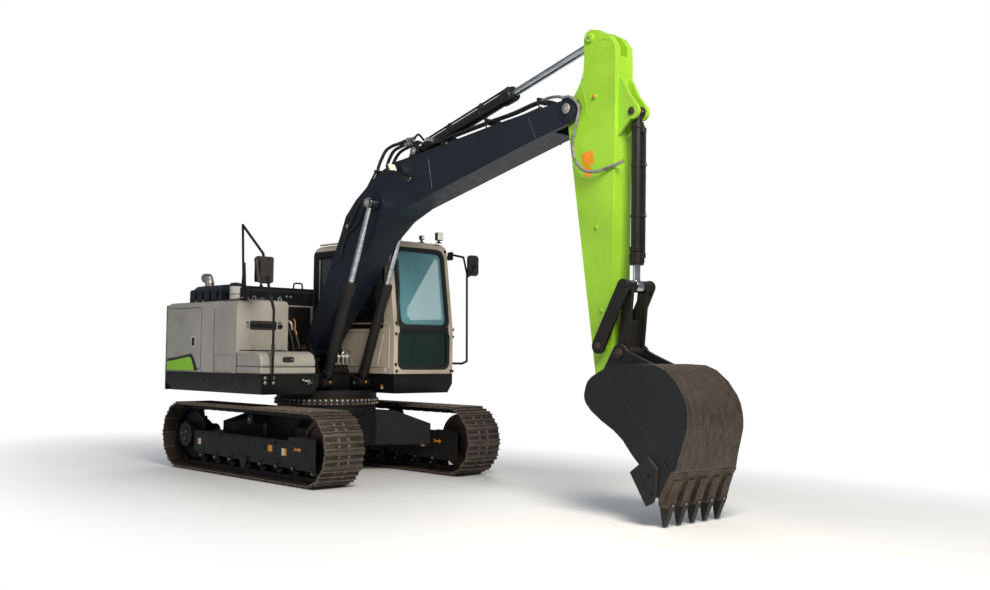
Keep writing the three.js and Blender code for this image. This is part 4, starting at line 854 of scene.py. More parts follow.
def build_tank_front():
    x = TANK["front"]
    p = Piece("tank_grip", "upper", "inner_dark")
    slot = rounded(-1078, -708, 1682, 1796, 26)
    p.plate(slot, x - 2, x + 1.2, plane="yz")
    p.plate(rounded(-730, -628, 1704, 1752, 18), x - 2, x + 1.0, plane="yz")
    outer = [Vector((x + 3, a, b)) for a, b in rounded(-1088, -698, 1672, 1806, 34)]
    inner = [Vector((x + 3, a, b)) for a, b in rounded(-1074, -712, 1686, 1792, 22)]
    p.use("shell_paint")
    ring(p, [v - Vector((3, 0, 0)) for v in outer], outer, inner, [v - Vector((2.5, 0, 0)) for v in inner])
    p.use("plastic")
    p.plate(rounded(-1066, -720, 1758, 1788, 8), x, x + 2.4, plane="yz")
    p.box(x, x + 3, -1062, -724, 1696, 1712, 1)
    # arched dimples over the two lower fixings
    for y in (-1044, -655):
        p.use("shell_paint")
        p.tube([(x + 1, y + 46 * math.cos(math.radians(a)), 1462 + 46 * math.sin(math.radians(a)))
                for a in range(-8, 189, 14)], 5, 8, 2)
        p.use("bright_steel").bolt((x + 1, y, 1472), (1, 0, 0), 11, 7)
    # rubber strip under the tank's edge
    p.use("gasket").box(x - 10, x + 5, -1205, -570, 1441, 1452, 3)
    p.done(crease=35)
    p = Piece("tank_top_fittings", "upper", "bright_steel")
    for y in (-650, -1000):
        p.tube([(-72, y - 20, 2038), (-72, y - 18, 2068), (-72, y, 2082), (-72, y + 18, 2068), (-72, y + 20, 2038)], 5,
               8)
    p.use("plastic").lathe((-300, -760, 2038), (0, 0, 1), [(0, 74), (8, 76), (24, 70), (34, 66), (38, 40), (40, 0.5)],
                           28)
    p.use("plastic").box(-330, -270, -772, -748, 2074, 2086, 4)
    p.use("dark_paint")
    for y in (-1190, -1090):
        p.plate([(-150, 2041), (-10, 2041), (-10, 2046), (-150, 2046)], y, y + 20, c=1)
    for i in range(9):
        p.use("dark_paint").plate(rounded(-480, -150, -1180 + 62 * i, -1180 + 62 * i + 22, 9), 2039, 2044, plane="xy",
                                  c=1)
    p.done()
    # flared foot of the rail's rear post, bolted to the tank's top
    p = Piece("rail_post_foot", "upper", "dark_paint")
    px, py = -75, -1140
    p.lathe((px, py, 2041), (0, 0, 1), [(0, 46), (10, 46), (14, 40), (60, 34), (150, 28), (300, 22), (420, 17),
                                        (430, 0.5)], 16)
    p.use("bright_steel")
    for dx, dy in ((-42, -42), (42, -42), (42, 42), (-42, 42)):
        p.bolt((px + dx * 0.95, py + dy * 0.95, 2046), (0, 0, 1), 11, 12)
    p.use("dark_paint").box(px - 56, px + 56, py - 56, py + 56, 2040.5, 2047, 2)
    p.done()


def build_step():
    x = STEP["front"]
    p = Piece("step_lid_grip", "tool_box_lid", "gasket")
    loop = rounded(-962, -812, 1313, 1376, 22)
    p.plate(rounded(-954, -820, 1318, 1371, 18), x - 3, x + 1.4, plane="yz")
    outer = [Vector((x + 2.4, a, b)) for a, b in loop]
    inner = [Vector((x + 2.4, a, b)) for a, b in rounded(-952, -822, 1323, 1366, 14)]
    ring(p, [v - Vector((3, 0, 0)) for v in outer], outer, inner, [v - Vector((3, 0, 0)) for v in inner])
    p.use("bright_steel").rod((x + 1, -842, 1345), (x + 6, -842, 1345), 10, 14)
    p.done()
    p = Piece("step_tread", "tool_box_lid", "gasket")
    for i in range(7):
        p.plate(rounded(60, 380, -1150 + i * 84, -1114 + i * 84, 14), 1437, 1441.5, plane="xy", c=1.5)
    p.done()
    p = Piece("step_grooves", "upper", "inner_dark")
    p.box(x - 1, x + 0.8, -1228, -530, 1259, 1264, 0.3)
    p.done()


def build_hood():
    refine("engine_hood", "hood_paint", 34, 5)
    p = Piece("hood_ribs", "engine_hood", "hood_paint")
    # raised pads between the flutes, wrapped over the hood's right and left ends
    for i in range(4):
        x0 = -1578 + i * 176
        for s in (-1, 1):
            y = s * 1010
            p.plate([(x0, 2062), (x0 + 128, 2062), (x0 + 128, 2176), (x0 + 112, 2200), (x0 + 16, 2200), (x0, 2176)],
                    y + s * -3, y + s * 9, c=7)
    for i in range(4):
        x0 = -1578 + i * 176
        p.plate(rounded(x0, x0 + 128, -880, 880, 30), 2247, 2257, plane="xy", c=6)
    p.use("bright_steel")
    for x in (-1420, -1244):
        p.bolt((x, -1012, 2048), (0, -1, 0), 15, 10)
        p.bolt((x, 1012, 2048), (0, 1, 0), 15, 10)
    p.use("dark_paint")
    p.tube([(-872, 60, 2246), (-868, 66, 2300), (-866, 86, 2318), (-866, 170, 2318), (-868, 190, 2300),
            (-872, 196, 2246)], 11, 10)
    p.use("inner_dark").plate(rounded(-70, 70, 2110, 2180, 14), -881, -877, plane="yz")
    p.use("bright_steel").bolt((-878, -30, 2140), (1, 0, 0), 12, 12)
    p.bolt((-878, 30, 2140), (1, 0, 0), 12, 12)
    p.use("gasket").box(-892, -874, -990, 990, 2034, 2044, 3)
    p.done()
    low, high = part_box("exhaust_pipe")
    to_mm = MACHINE.inverted()
    low, high = to_mm @ low, to_mm @ high
    y = (low.y + high.y) / 2
    r = min((high.y - low.y) / 2, 62) - 4
    top = high.z - r
    p = Piece("exhaust_bend", "engine_hood", "exhaust_steel")
    p.tube([(high.x - r - 6, y, low.z), (high.x - r - 6, y, low.z + 0.45 * (top - low.z)),
            (high.x - r - 22, y, top - 0.18 * (top - low.z)), (low.x + 0.5 * (high.x - low.x), y, top),
            (low.x + 4, y, top + 2)], r, 18)
    p.use("inner_dark").lathe((low.x + 3, y, top + 2), (-1, 0, 0), [(0, r - 6), (1, 0.5)], 18)
    p.done(["exhaust_pipe"])


def build_canister():
    p = Piece("canister", "upper", "white")
    x, y = -660, -900
    p.lathe((x, y, 2032), (0, 0, 1), [(0, 76), (12, 76), (14, 72), (96, 72), (98, 75), (112, 75), (114, 72), (190, 72),
                                      (196, 66)], 30)
    p.use("gasket").lathe((x, y, 2222), (0, 0, 1), [(0, 76), (6, 82), (20, 82), (26, 74), (40, 60), (46, 30),
                                                    (47, 0.5)], 30)
    for k in range(10):
        a = math.radians(36 * k)
        p.box(x + 76 * math.cos(a) - 5, x + 76 * math.cos(a) + 5, y + 76 * math.sin(a) - 5, y + 76 * math.sin(a) + 5,
              2226, 2246, 2)
    p.use("bright_steel").lathe((x, y, 2120), (0, 0, 1), [(0, 74), (2, 77), (16, 77), (18, 74)], 30)
    p.bolt((x + 40, y - 64, 2128), (0.6, -0.8, 0), 8, 18)
    p.done(["air_precleaner"])


def build_rail():
    """The right-hand rail, its post and the mirror on its ball joint."""
    dress("handrail_right", "dark_paint")
    refine("mirror_right", "plastic", 16, 4)
    low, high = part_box("mirror_right")
    to_mm = MACHINE.inverted()
    low, high = to_mm @ low, to_mm @ high
    y0, y1, z0, z1 = low.y + 14, high.y - 14, low.z + 14, high.z - 14
    p = Piece("mirror_right_back", "upper", "plastic")
    p.plate(rounded(y0, y1, z0, z1, 24), high.x - 3, high.x + 5, plane="yz", c=4)
    cx = (y0 + y1) / 2
    p.use("dark_paint").ball((low.x + 20, cx, low.z - 20), 20)
    p.rod((low.x + 20, cx, low.z - 26), (low.x + 22, cx, low.z + 10), 12, 12)
    p.use("mirror_face").plate(rounded(y0 + 8, y1 - 8, z0 + 8, z1 - 8, 18), low.x - 1.5, low.x + 1, plane="yz")
    p.done()
    p = Piece("rail_sleeves", "upper", "gasket")
    p.rod((560, -1130, 1380), (560, -1130, 1520), 19, 14)
    p.rod((536, -1142, 1990), (524, -1149, 2050), 20, 14)
    p.done()


def build_counterweight():
    p = Piece("counterweight_fittings", "upper", "dark_paint")
    for y in (-520, 520):
        p.tube([(-1930, y - 60, 1998), (-1930, y - 56, 2040), (-1930, y, 2062), (-1930, y + 56, 2040),
                (-1930, y + 60, 1998)], 16, 10)
    p.use("bright_steel")
    for y in (-860, -300, 300, 860):
        p.bolt((-1790, y, 2001), (0, 0, 1), 22, 14)
    p.use("inner_dark")
    for y in (-330, 330):
        at = surface("counterweight", (-3000, y, 1330), (1, 0, 0))
        p.lathe((at.x + 6, y, 1330), (-1, 0, 0), [(0, 58), (8, 58), (10, 50), (11, 0.5)], 24)
    p.use("gasket")
    at = surface("counterweight", (-3000, 0, 1700), (1, 0, 0))
    p.box(at.x - 26, at.x + 8, -60, 60, 1640, 1720, 8)
    p.use("lens").lathe((at.x - 24, 0, 1676), (-1, 0, 0), [(0, 20), (8, 20), (10, 14), (11, 0.5)], 20)
    p.done()
    p = Piece("tail_reflectors", "upper", "red_cap")
    for y in (-900, 900):
        at = surface("counterweight", (-3000, y, 1500), (1, 0, 0))
        out = Vector((at.x, at.y, 0)).normalized()
        across = Vector((-out.y, out.x, 0))
        base = at - out * 1
        corners = [base + across * sx * 50 + Vector((0, 0, sz * 22)) + out * t for t in (0, 7) for sx,
                   sz in ((-1, -1), (1, -1), (1, 1), (-1, 1))]
        p.add(corners, [[0, 1, 2, 3], [4, 7, 6, 5], [0, 4, 5, 1], [1, 5, 6, 2], [2, 6, 7, 3], [3, 7, 4, 0]])
    p.done()


def build_engine_bay():
    """What shows between the tank and the boom: hoses, pipes and the swing motor."""
    wall = surface("engine_house", (2000, -200, 1500), (-1, 0, 0)).x
    # a near-black sheet laid on the engine house's front wall, standing in for the bay's dark depth: painted shade of
    # the recess between tank, cab and boom
    p = Piece("bay_shade_sheet", "upper", "inner_dark")
    p.box(wall + 1, wall + 9, -545, 300, 1192, 2012, 2)
    p.done()
    p = Piece("deck_hoses", "upper", "hose")
    for y, z, r in ((-500, 1700, 17), (-470, 1560, 19), (-430, 1820, 15), (-380, 1640, 21), (-330, 1760, 17)):
        p.tube([(-545, y, z), (-430, y - 10, z + 40), (-300, y + 20, z - 40), (-220, y + 60, z - 260),
                (-200, y + 80, 1300),
                (-260, y + 90, 1190)], r, 9)
    p.use("bright_steel")
    p.tube([(-545, -500, 1790), (-420, -490, 1800), (-330, -440, 1806), (-250, -380, 1790), (-240, -360, 1700)], 22,
           12)
    p.rod((-330, -442, 1806), (-290, -418, 1802), 30, 14)
    for y in (-500, -455, -410):
        p.rod((-350, y, 1440), (-350, y + 1, 1500), 17, 10)
        p.rod((-350, y, 1420), (-350, y, 1440), 24, 6)
    p.use("silver_hose")
    p.tube([(-400, -540, 1560), (-360, -500, 1620), (-380, -450, 1560), (-340, -420, 1500), (-300, -430, 1420)], 12, 8)
    p.use("engine_grey")
    p.lathe((-330, -150, 1183), (0, 0, 1), [(0, 150), (20, 150), (24, 120), (160, 118), (170, 128), (190, 128),
                                            (200, 90), (300, 88), (310, 60), (330, 20)], 24)
    p.box(-620, -480, -420, -160, 1184, 1420, 12)
    p.box(-560, -430, -120, 120, 1184, 1330, 12)
    p.use("bright_steel")
    for k in range(10):
        a = math.radians(36 * k)
        p.bolt((-330 + 138 * math.cos(a), -150 + 138 * math.sin(a), 1203), (0, 0, 1), 9, 8)
    p.use("orange")
    path = [(-120 - 14 * k, -380 + 5 * k + 9 * math.cos(k * 1.1), 1640 + 24 * k + 9 * math.sin(k * 1.1))
            for k in range(9)]
    p.tube(path, 7, 8, 4)
    p.done()


build_panels()
build_skirt()
build_tank_front()
build_step()
build_hood()
build_canister()
build_rail()
build_counterweight()
build_engine_bay()

# ------------------------------------------------------------------ cab


def pane_band(p, outer, inner, x_of, front, back):
    """A gasket round a pane; x_of gives the face's x at a height."""
    rim = [Vector((x_of(z) + front, y, z)) for y, z in outer]
    lip = [Vector((x_of(z) + front, y, z)) for y, z in inner]
    ring(p, [v - Vector((front - back, 0, 0)) for v in rim], rim, lip, [v - Vector((front - back, 0, 0)) for v in lip])


def build_cab_shell():
    refine("cab_shell", "cab_paint", 14, 4)
    refine("cab_door", "cab_paint", 8)
    p = Piece("windshield_gasket", "upper", "gasket")
    top = surface("cab_shell", (2000, 350, 2600), (-1, 0, 0)).x
    mid = surface("cab_shell", (2000, 350, 1722), (-1, 0, 0)).x
    foot = surface("cab_shell", (2000, 350, 1300), (-1, 0, 0)).x

    def front(z):
        if z > 1722:
            return mid + (top - mid) * (z - 1722) / (2600 - 1722)
        return foot + (mid - foot) * (z - 1300) / (1722 - 1300)

    pane_band(p, rounded(372, 1188, 1729, 2724, 112), rounded(424, 1136, 1778, 2672, 80), front, 4, -22)
    pane_band(p, rounded(372, 1188, 1234, 1715, 92), rounded(418, 1142, 1280, 1690, 62), front, 4, -22)
    bar = [(396, 1694), (1164, 1694), (1164, 1750), (396, 1750)]
    rim = [Vector((front(z) + 6, y, z)) for y, z in bar]
    ring_back = [v - Vector((30, 0, 0)) for v in rim]
    p.add(rim + ring_back, [[0, 1, 2, 3], [7, 6, 5, 4], [0, 4, 5, 1], [1, 5, 6, 2], [2, 6, 7, 3], [3, 7, 4, 0]])
    p.use("frame_paint")
    p.tube([(front(1690) + 10, 400, 1692), (front(1690) + 10, 780, 1692), (front(1690) + 10, 1160, 1692)], 7, 8, 2)
    # wiper: motor at the pillar, arm and blade up the pillar's inner edge
    p.use("plastic")
    p.rod((front(1788) - 4, 352, 1788), (front(1788) + 34, 352, 1788), 20, 14)
    p.tube([(front(1788) + 24, 352, 1788), (front(1950) + 26, 372, 1950), (front(2180) + 22, 404, 2180)], 8, 8)
    p.tube([(front(1990) + 14, 380, 1840), (front(2100) + 14, 412, 2180), (front(2300) + 14, 402, 2560)], 9, 8)
    p.ball((front(1788) + 34, 352, 1788), 17)
    # blank corner bolts of the pillars
    p.use("bearing_steel")
    for y, z in ((346, 1660), (360, 1216), (344, 1296), (1216, 1216), (1216, 2706)):
        p.bolt((front(z) - 1, y, z), (1, 0, 0), 12, 16)
        p.use("gasket").lathe((front(z) - 1, y, z), (1, 0, 0), [(0, 21), (4, 21), (5, 18), (5.5, 0.5)], 16)
        p.use("bearing_steel")
    for z in (1640, 1730, 1216, 2640):
        p.lathe((front(z) - 30, 1246, z), (0, 1, 0), [(0, 12), (16, 12), (18, 18), (30, 18), (33, 9), (34, 0.5)], 14)
    p.done()

    p = Piece("cab_trim", "upper", "gasket")
    # the right side: raised rib, black belt at the window's foot, blank sticker
    y = CAB["inner"]
    side = surface("cab_shell", (0, 0, 1500), (0, 1, 0)).y
    p.box(-690, 690, side - 3, side + 2, 1836, 1852, 2)
    p.box(-690, 690, side - 3, side + 2, 2642, 2656, 2)
    p.box(-690, -674, side - 3, side + 2, 1836, 2656, 2)
    p.box(674, 690, side - 3, side + 2, 1836, 2656, 2)
    p.use("cab_paint")
    p.tube([(806, side, 1250), (806, side, 1690), (770, side, 1770), (300, side, 1790), (-700, side, 1790)], 8, 8)
    p.tube([(590, side, 1300), (690, side, 1640), (640, side, 1690), (-600, side, 1690)], 7, 8)
    p.tube([(800, side, 1268), (300, side, 1268), (-760, side, 1268)], 7, 8)
    p.use("white").box(716, 772, side - 1.4, side + 1, 1196, 1262, 0.4)
    p.use("cab_paint")
    # roof: gutter rail, raised panel and hatch frame
    for y0 in (352, 1208):
        p.tube([(560, y0, 2806), (300, y0, 2818), (-700, y0, 2818)], 12, 10)
    p.use("gasket")
    loop = rounded(-190, 520, 465, 1095, 60)
    inner = rounded(-150, 480, 505, 1055, 40)
    roof = CAB["top"]
    for a, b, lift in ((loop, inner, 8),):
        outer_top = [Vector((x, y1, roof + lift)) for x, y1 in a]
        inner_top = [Vector((x, y1, roof + lift)) for x, y1 in b]
        ring(p, [v - Vector((0, 0, lift + 6)) for v in outer_top], outer_top, inner_top,
             [v - Vector((0, 0, lift + 6)) for v in inner_top])
    p.done()

    p = Piece("door_fittings", "cab_door", "gasket")
    y = CAB["outer"]
    outer = [Vector((x, y + 3, z)) for x, z in rounded(-24, 762, 1836, 2644, 96)]
    inner = [Vector((x, y + 3, z)) for x, z in rounded(0, 738, 1860, 2620, 76)]
    ring(p, [v - Vector((0, 16, 0)) for v in outer], outer, inner, [v - Vector((0, 16, 0)) for v in inner])
    p.use("plastic").plate(rounded(590, 720, 1690, 1790, 20), y - 1, y + 5, c=2)
    p.box(600, 704, y + 2, y + 26, 1744, 1772, 8)
    p.use("bright_steel").rod((616, y + 2, 1716), (616, y + 9, 1716), 13, 14)
    p.use("cab_paint").tube([(20, y, 1300), (700, y, 1300), (735, y, 1340), (735, y, 1600)], 6, 8)
    p.use("dark_paint")
    p.tube([(40, y, 1830), (44, y + 44, 1800), (46, y + 48, 1560), (40, y, 1530)], 11, 10)
    p.done()
    p = Piece("door_hinges", "upper", "dark_paint")
    for z in (1330, 1900, 2560):
        p.rod((-92, y + 6, z - 50), (-92, y + 6, z + 50), 13, 14)
    p.use("gasket")
    outer = [Vector((x, y + 2, z)) for x, z in rounded(-712, -128, 1878, 2667, 70)]
    inner = [Vector((x, y + 2, z)) for x, z in rounded(-690, -150, 1900, 2645, 54)]
    ring(p, [v - Vector((0, 16, 0)) for v in outer], outer, inner, [v - Vector((0, 16, 0)) for v in inner])
    rear = surface("cab_shell", (-2000, 1190, 2300), (1, 0, 0)).x
    outer = [Vector((rear - 3, a, b)) for a, b in rounded(402, 1158, 2057, 2668, 70)]
    inner = [Vector((rear - 3, a, b)) for a, b in rounded(425, 1135, 2080, 2645, 54)]
    ring(p, [v + Vector((16, 0, 0)) for v in outer], outer, inner, [v + Vector((16, 0, 0)) for v in inner])
    # divider of the rear window, as it shows through the windshield
    p.use("plastic").box(rear - 2, rear + 14, 772, 790, 2080, 2645, 2)
    p.done()


def build_dark_side():
    """The black panel round the window on the boom's side of the cab."""
    wall = surface("cab_shell", (-780, -400, 2200), (0, 1, 0)).y
    p = Piece("cab_side_panel", "upper", "dark_paint")
    outer = rounded(-786, 700, CAB["waist"] + 4, 2728, 40)
    inner = rounded(-668, 660, 1852, 2643, 30)
    ring(p, [(x, wall - 3, z) for x, z in outer], [(x, wall - 3, z) for x, z in inner],
         [(x, wall + 1, z) for x, z in inner], [(x, wall + 1, z) for x, z in outer])
    p.done()


def build_lamps():
    p = Piece("roof_lamp_cases", "upper", "plastic")
    roof = CAB["top"]
    for x, y, half, low_z in ((832, 1085, 50, 2836), (700, 915, 27, 2842)):
        p.use("plastic").box(x - 60, x - 4, y - half, y + half, low_z, low_z + 2 * half, 9)
        p.use("lens").plate(rounded(y - half + 6, y + half - 6, low_z + 6, low_z + 2 * half - 6, 10), x - 6, x + 4,
                            plane="yz", c=3)
        p.use("dark_paint").box(x - 46, x - 22, y - 12, y + 12, roof - 14, 2840, 3)
        p.box(x - 64, x - 10, y - 30, y + 30, roof - 12, roof + 2, 3)
    p.done(["cab_lights"])


def build_interior():
    refine("seat_base", "inner_dark", 14)
    p = Piece("cab_controls", "upper", "plastic")
    # side consoles with levers
    for s in (-1, 1):
        y = 770 + s * 292
        p.use("plastic").box(-120, 330, y - 60, y + 60, 1560, 1668, 22)
        p.box(-60, 250, y - 42, y + 42, 1490, 1562, 12)
        p.tube([(270, y, 1660), (284, y, 1740), (276, y - s * 6, 1800)], 17, 10)
        p.use("gasket").tube([(272, y - s * 4, 1788), (264, y - s * 10, 1850), (262, y - s * 14, 1886)],
                             lambda t: 24 - 5 * abs(t - 0.4), 12)
        p.use("plastic").lathe((272, y, 1664), (0, 0, 1), [(0, 44), (14, 40), (34, 26), (60, 18)], 16)
    # travel levers and pedals
    for y in (730, 810):
        p.use("dark_paint").tube([(600, y, 1215), (600, y, 1400), (560, y, 1600), (520, y, 1700)], 11, 8)
        p.use("gasket").tube([(530, y, 1680), (505, y, 1760)], 19, 10)
        p.use("gasket").plate([(560, 1230), (700, 1285), (696, 1297), (556, 1242)], y - 34, y + 34, c=2)
    # display on the right pillar, and its stalk
    p.use("plastic").box(640, 690, 400, 560, 1820, 1960, 12)
    p.use("glass").box(634, 642, 412, 548, 1834, 1946, 1)
    p.use("plastic").tube([(690, 440, 1700), (680, 450, 1780), (668, 470, 1830)], 14, 8)
    # rubber mat and rear shelf
    p.use("gasket").box(130, 760, 400, 1170, 1184, 1196, 4)
    p.use("plastic").box(-740, -560, 390, 1170, 1700, 2040, 20)
    p.use("gasket")
    p.tube([(430, 600, 1196), (440, 610, 1300), (500, 640, 1420), (560, 640, 1500)], 15, 8)
    p.done()
    p = Piece("roof_lining", "upper", "seat_vinyl")
    p.box(-700, -170, 400, 1160, 2738, 2752, 6)
    p.box(490, 600, 400, 1160, 2720, 2740, 6)
    p.done()
    p = Piece("seat_rails", "upper", "dark_paint")
    # pads' frame, arm rests and the hoop behind the head rest
    for s in (-1, 1):
        y = 770 + s * 236
        p.tube([(-300, y, 1560), (-280, y, 1700), (-140, y, 1742), (60, y, 1730)], 14, 10)
        p.use("seat_vinyl").tube([(-190, y, 1756), (-40, y, 1760), (80, y, 1744)], 30, 12)
        p.use("dark_paint")
    p.tube([(-500, 690, 2160), (-510, 690, 2240), (-512, 700, 2290), (-512, 840, 2290), (-510, 850, 2240),
            (-500, 850, 2160)], 10, 8)
    p.done()


def padded_form(name, sections, body, material):
    """A closed form through rounded cross-sections: each is (centre, half width, half height, direction up)."""
    p = Piece(name, body, material)
    n = 28
    verts = []
    for centre, wide, tall, lean in sections:
        up = Vector((math.sin(math.radians(lean)), 0, math.cos(math.radians(lean))))
        for k in range(n):
            a = 2 * math.pi * k / n
            c, s = math.cos(a), math.sin(a)
            e = 0.42
            verts.append(Vector(centre) + Vector((0, 1, 0)) * wide * math.copysign(abs(c) ** e, c)
                         + up * tall * math.copysign(abs(s) ** e, s))
    faces = [list(range(n)), list(range((len(sections) - 1) * n, len(sections) * n))]
    for r in range(len(sections) - 1):
        faces += [[r * n + i, r * n + (i + 1) % n, (r + 1) * n + (i + 1) % n, (r + 1) * n + i] for i in range(n)]
    p.add(verts, faces)
    return p


def inflate(thing, voxel, most):
    """Puffs a pad up with a cloth run, and lets no point move further than most."""
    bpy.context.view_layer.objects.active = thing
    remesh = thing.modifiers.new("voxels", "REMESH")
    remesh.mode = "VOXEL"
    remesh.voxel_size = voxel
    bpy.ops.object.modifier_apply(modifier=remesh.name)
    start = [v.co.copy() for v in thing.data.vertices]
    sim = thing.modifiers.new("puff", "CLOTH")
    sim.settings.use_pressure = True
    sim.settings.uniform_pressure_force = 4
    sim.settings.effector_weights.gravity = 0
    sim.settings.tension_stiffness = 40
    sim.settings.quality = 4
    sim.point_cache.frame_end = 20
    for step in range(1, 21):
        bpy.context.scene.frame_set(step)
    graph = bpy.context.evaluated_depsgraph_get()
    puffed = [v.co.copy() for v in thing.evaluated_get(graph).data.vertices]
    thing.modifiers.remove(sim)
    bpy.context.scene.frame_set(1)
    for vertex, was, now in zip(thing.data.vertices, start, puffed):
        move = now - was
        if move.length > most:
            move *= most / move.length
        vertex.co = was + move
    soft = thing.modifiers.new("soft", "SUBSURF")
    soft.levels = soft.render_levels = 1
    thing.data.shade_smooth()


def build_seat():
    cushion = padded_form("seat_cushion", [
        ((-292, 770, 1546), 170, 30, 0), ((-280, 770, 1545), 205, 48, 0), ((-150, 770, 1536), 212, 44, 0),
        ((-148, 770, 1534), 211, 41, 0), ((-20, 770, 1540), 214, 47, 0), ((70, 770, 1548), 206, 48, 0),
        ((88, 770, 1548), 170, 30, 0)], "upper", "seat_cloth").done(["seat"])
    back = padded_form("seat_back", [
        ((-318, 770, 1602), 175, 28, 90), ((-326, 770, 1622), 206, 46, 84), ((-372, 770, 1800), 214, 44, 80),
        ((-373, 770, 1803), 212, 41, 80), ((-420, 770, 1990), 206, 46, 78), ((-462, 770, 2130), 182, 42, 78),
        ((-466, 770, 2142), 150, 28, 78)], "upper", "seat_cloth").done()
    head = padded_form("seat_head_rest", [
        ((-476, 770, 2196), 96, 24, 84), ((-478, 770, 2208), 118, 36, 84), ((-484, 770, 2280), 120, 38, 84),
        ((-488, 770, 2326), 112, 34, 84), ((-488, 770, 2334), 90, 22, 84)], "upper", "seat_cloth").done()
    for thing in (cushion, back, head):
        inflate(thing, 0.010, 0.012)
    p = Piece("seat_piping", "upper", "seat_vinyl")
    p.box(-300, 60, 576, 964, 1478, 1500, 8)
    p.tube([(-150, 562, 1548), (-150, 600, 1582), (-150, 770, 1586), (-150, 940, 1582), (-150, 978, 1548)], 5, 8)
    p.done()


def build_left_mirror():
    dress("mirror_arm_left", "dark_paint")
    refine("mirror_left", "plastic", 14, 4)
    low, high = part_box("mirror_left")
    to_mm = MACHINE.inverted()
    low, high = to_mm @ low, to_mm @ high
    cy, cz = (low.y + high.y) / 2, (low.z + high.z) / 2
    p = Piece("mirror_left_fittings", "upper", "dark_paint")
    p.ball((high.x + 4, cy, cz - 12), 24)
    p.rod((high.x - 2, cy, cz - 12), (high.x + 26, cy, cz - 12), 15, 14)
    p.tube([(high.x + 10, cy, cz - 16), (high.x + 8, cy - 60, low.z + 10), (996, 1400, low.z - 8)], 8, 8)
    p.use("gasket").ball((1000, 1398, low.z - 4), 21)
    p.use("mirror_face").plate(rounded(low.y + 12, high.y - 12, low.z + 12, high.z - 12, 16), low.x - 1.5, low.x + 1,
                               plane="yz")
    p.done()
    q = Piece("left_rail_bolts", "upper", "bright_steel")
    for z in (1296, 2690):
        q.bolt((862, 1247, z), (0, 1, 0), 13, 10)
        q.bolt((826, 1247, z), (0, 1, 0), 13, 10)
    q.done()


build_cab_shell()
build_lamps()
build_interior()
build_seat()
build_left_mirror()
build_dark_side()
for node, material in (
    ("windshield", "clear_glass"), ("windshield_lower", "green_glass"), ("window_right", "dark_glass"),
    ("window_rear", "glass"), ("window_left", "glass"), ("roof_hatch", "glass"), ("cab_door_glass", "glass"),
):
    dress(node, material)

# ------------------------------------------------------------------ boom

BOOM_SIDE = 180
EYES = dict(boom_foot=(0, 0), boom_cylinder=(1935, 840), arm_cylinder=(2670, 1070))


def pin_cap(p, x, z, y, side, radius=52, bolts=0):
    """The end of a pin: a washer plate and a hexagon head."""
    p.lathe((x, y, z), (0, side, 0), [(0, radius), (8, radius), (11, radius - 4), (12, 0.5)], 28)
    for k in range(bolts):
        a = math.radians(360 * k / bolts + 30)
        p.bolt((x + (radius - 14) * math.cos(a), y + side * 10, z + (radius - 14) * math.sin(a)), (0, side, 0), 7, 6)
    return p.bolt((x, y + side * 10, z), (0, side, 0), radius * 0.42, radius * 0.3)


def weld(p, points, radius=6):
    return p.tube(points, radius, 7, 5)


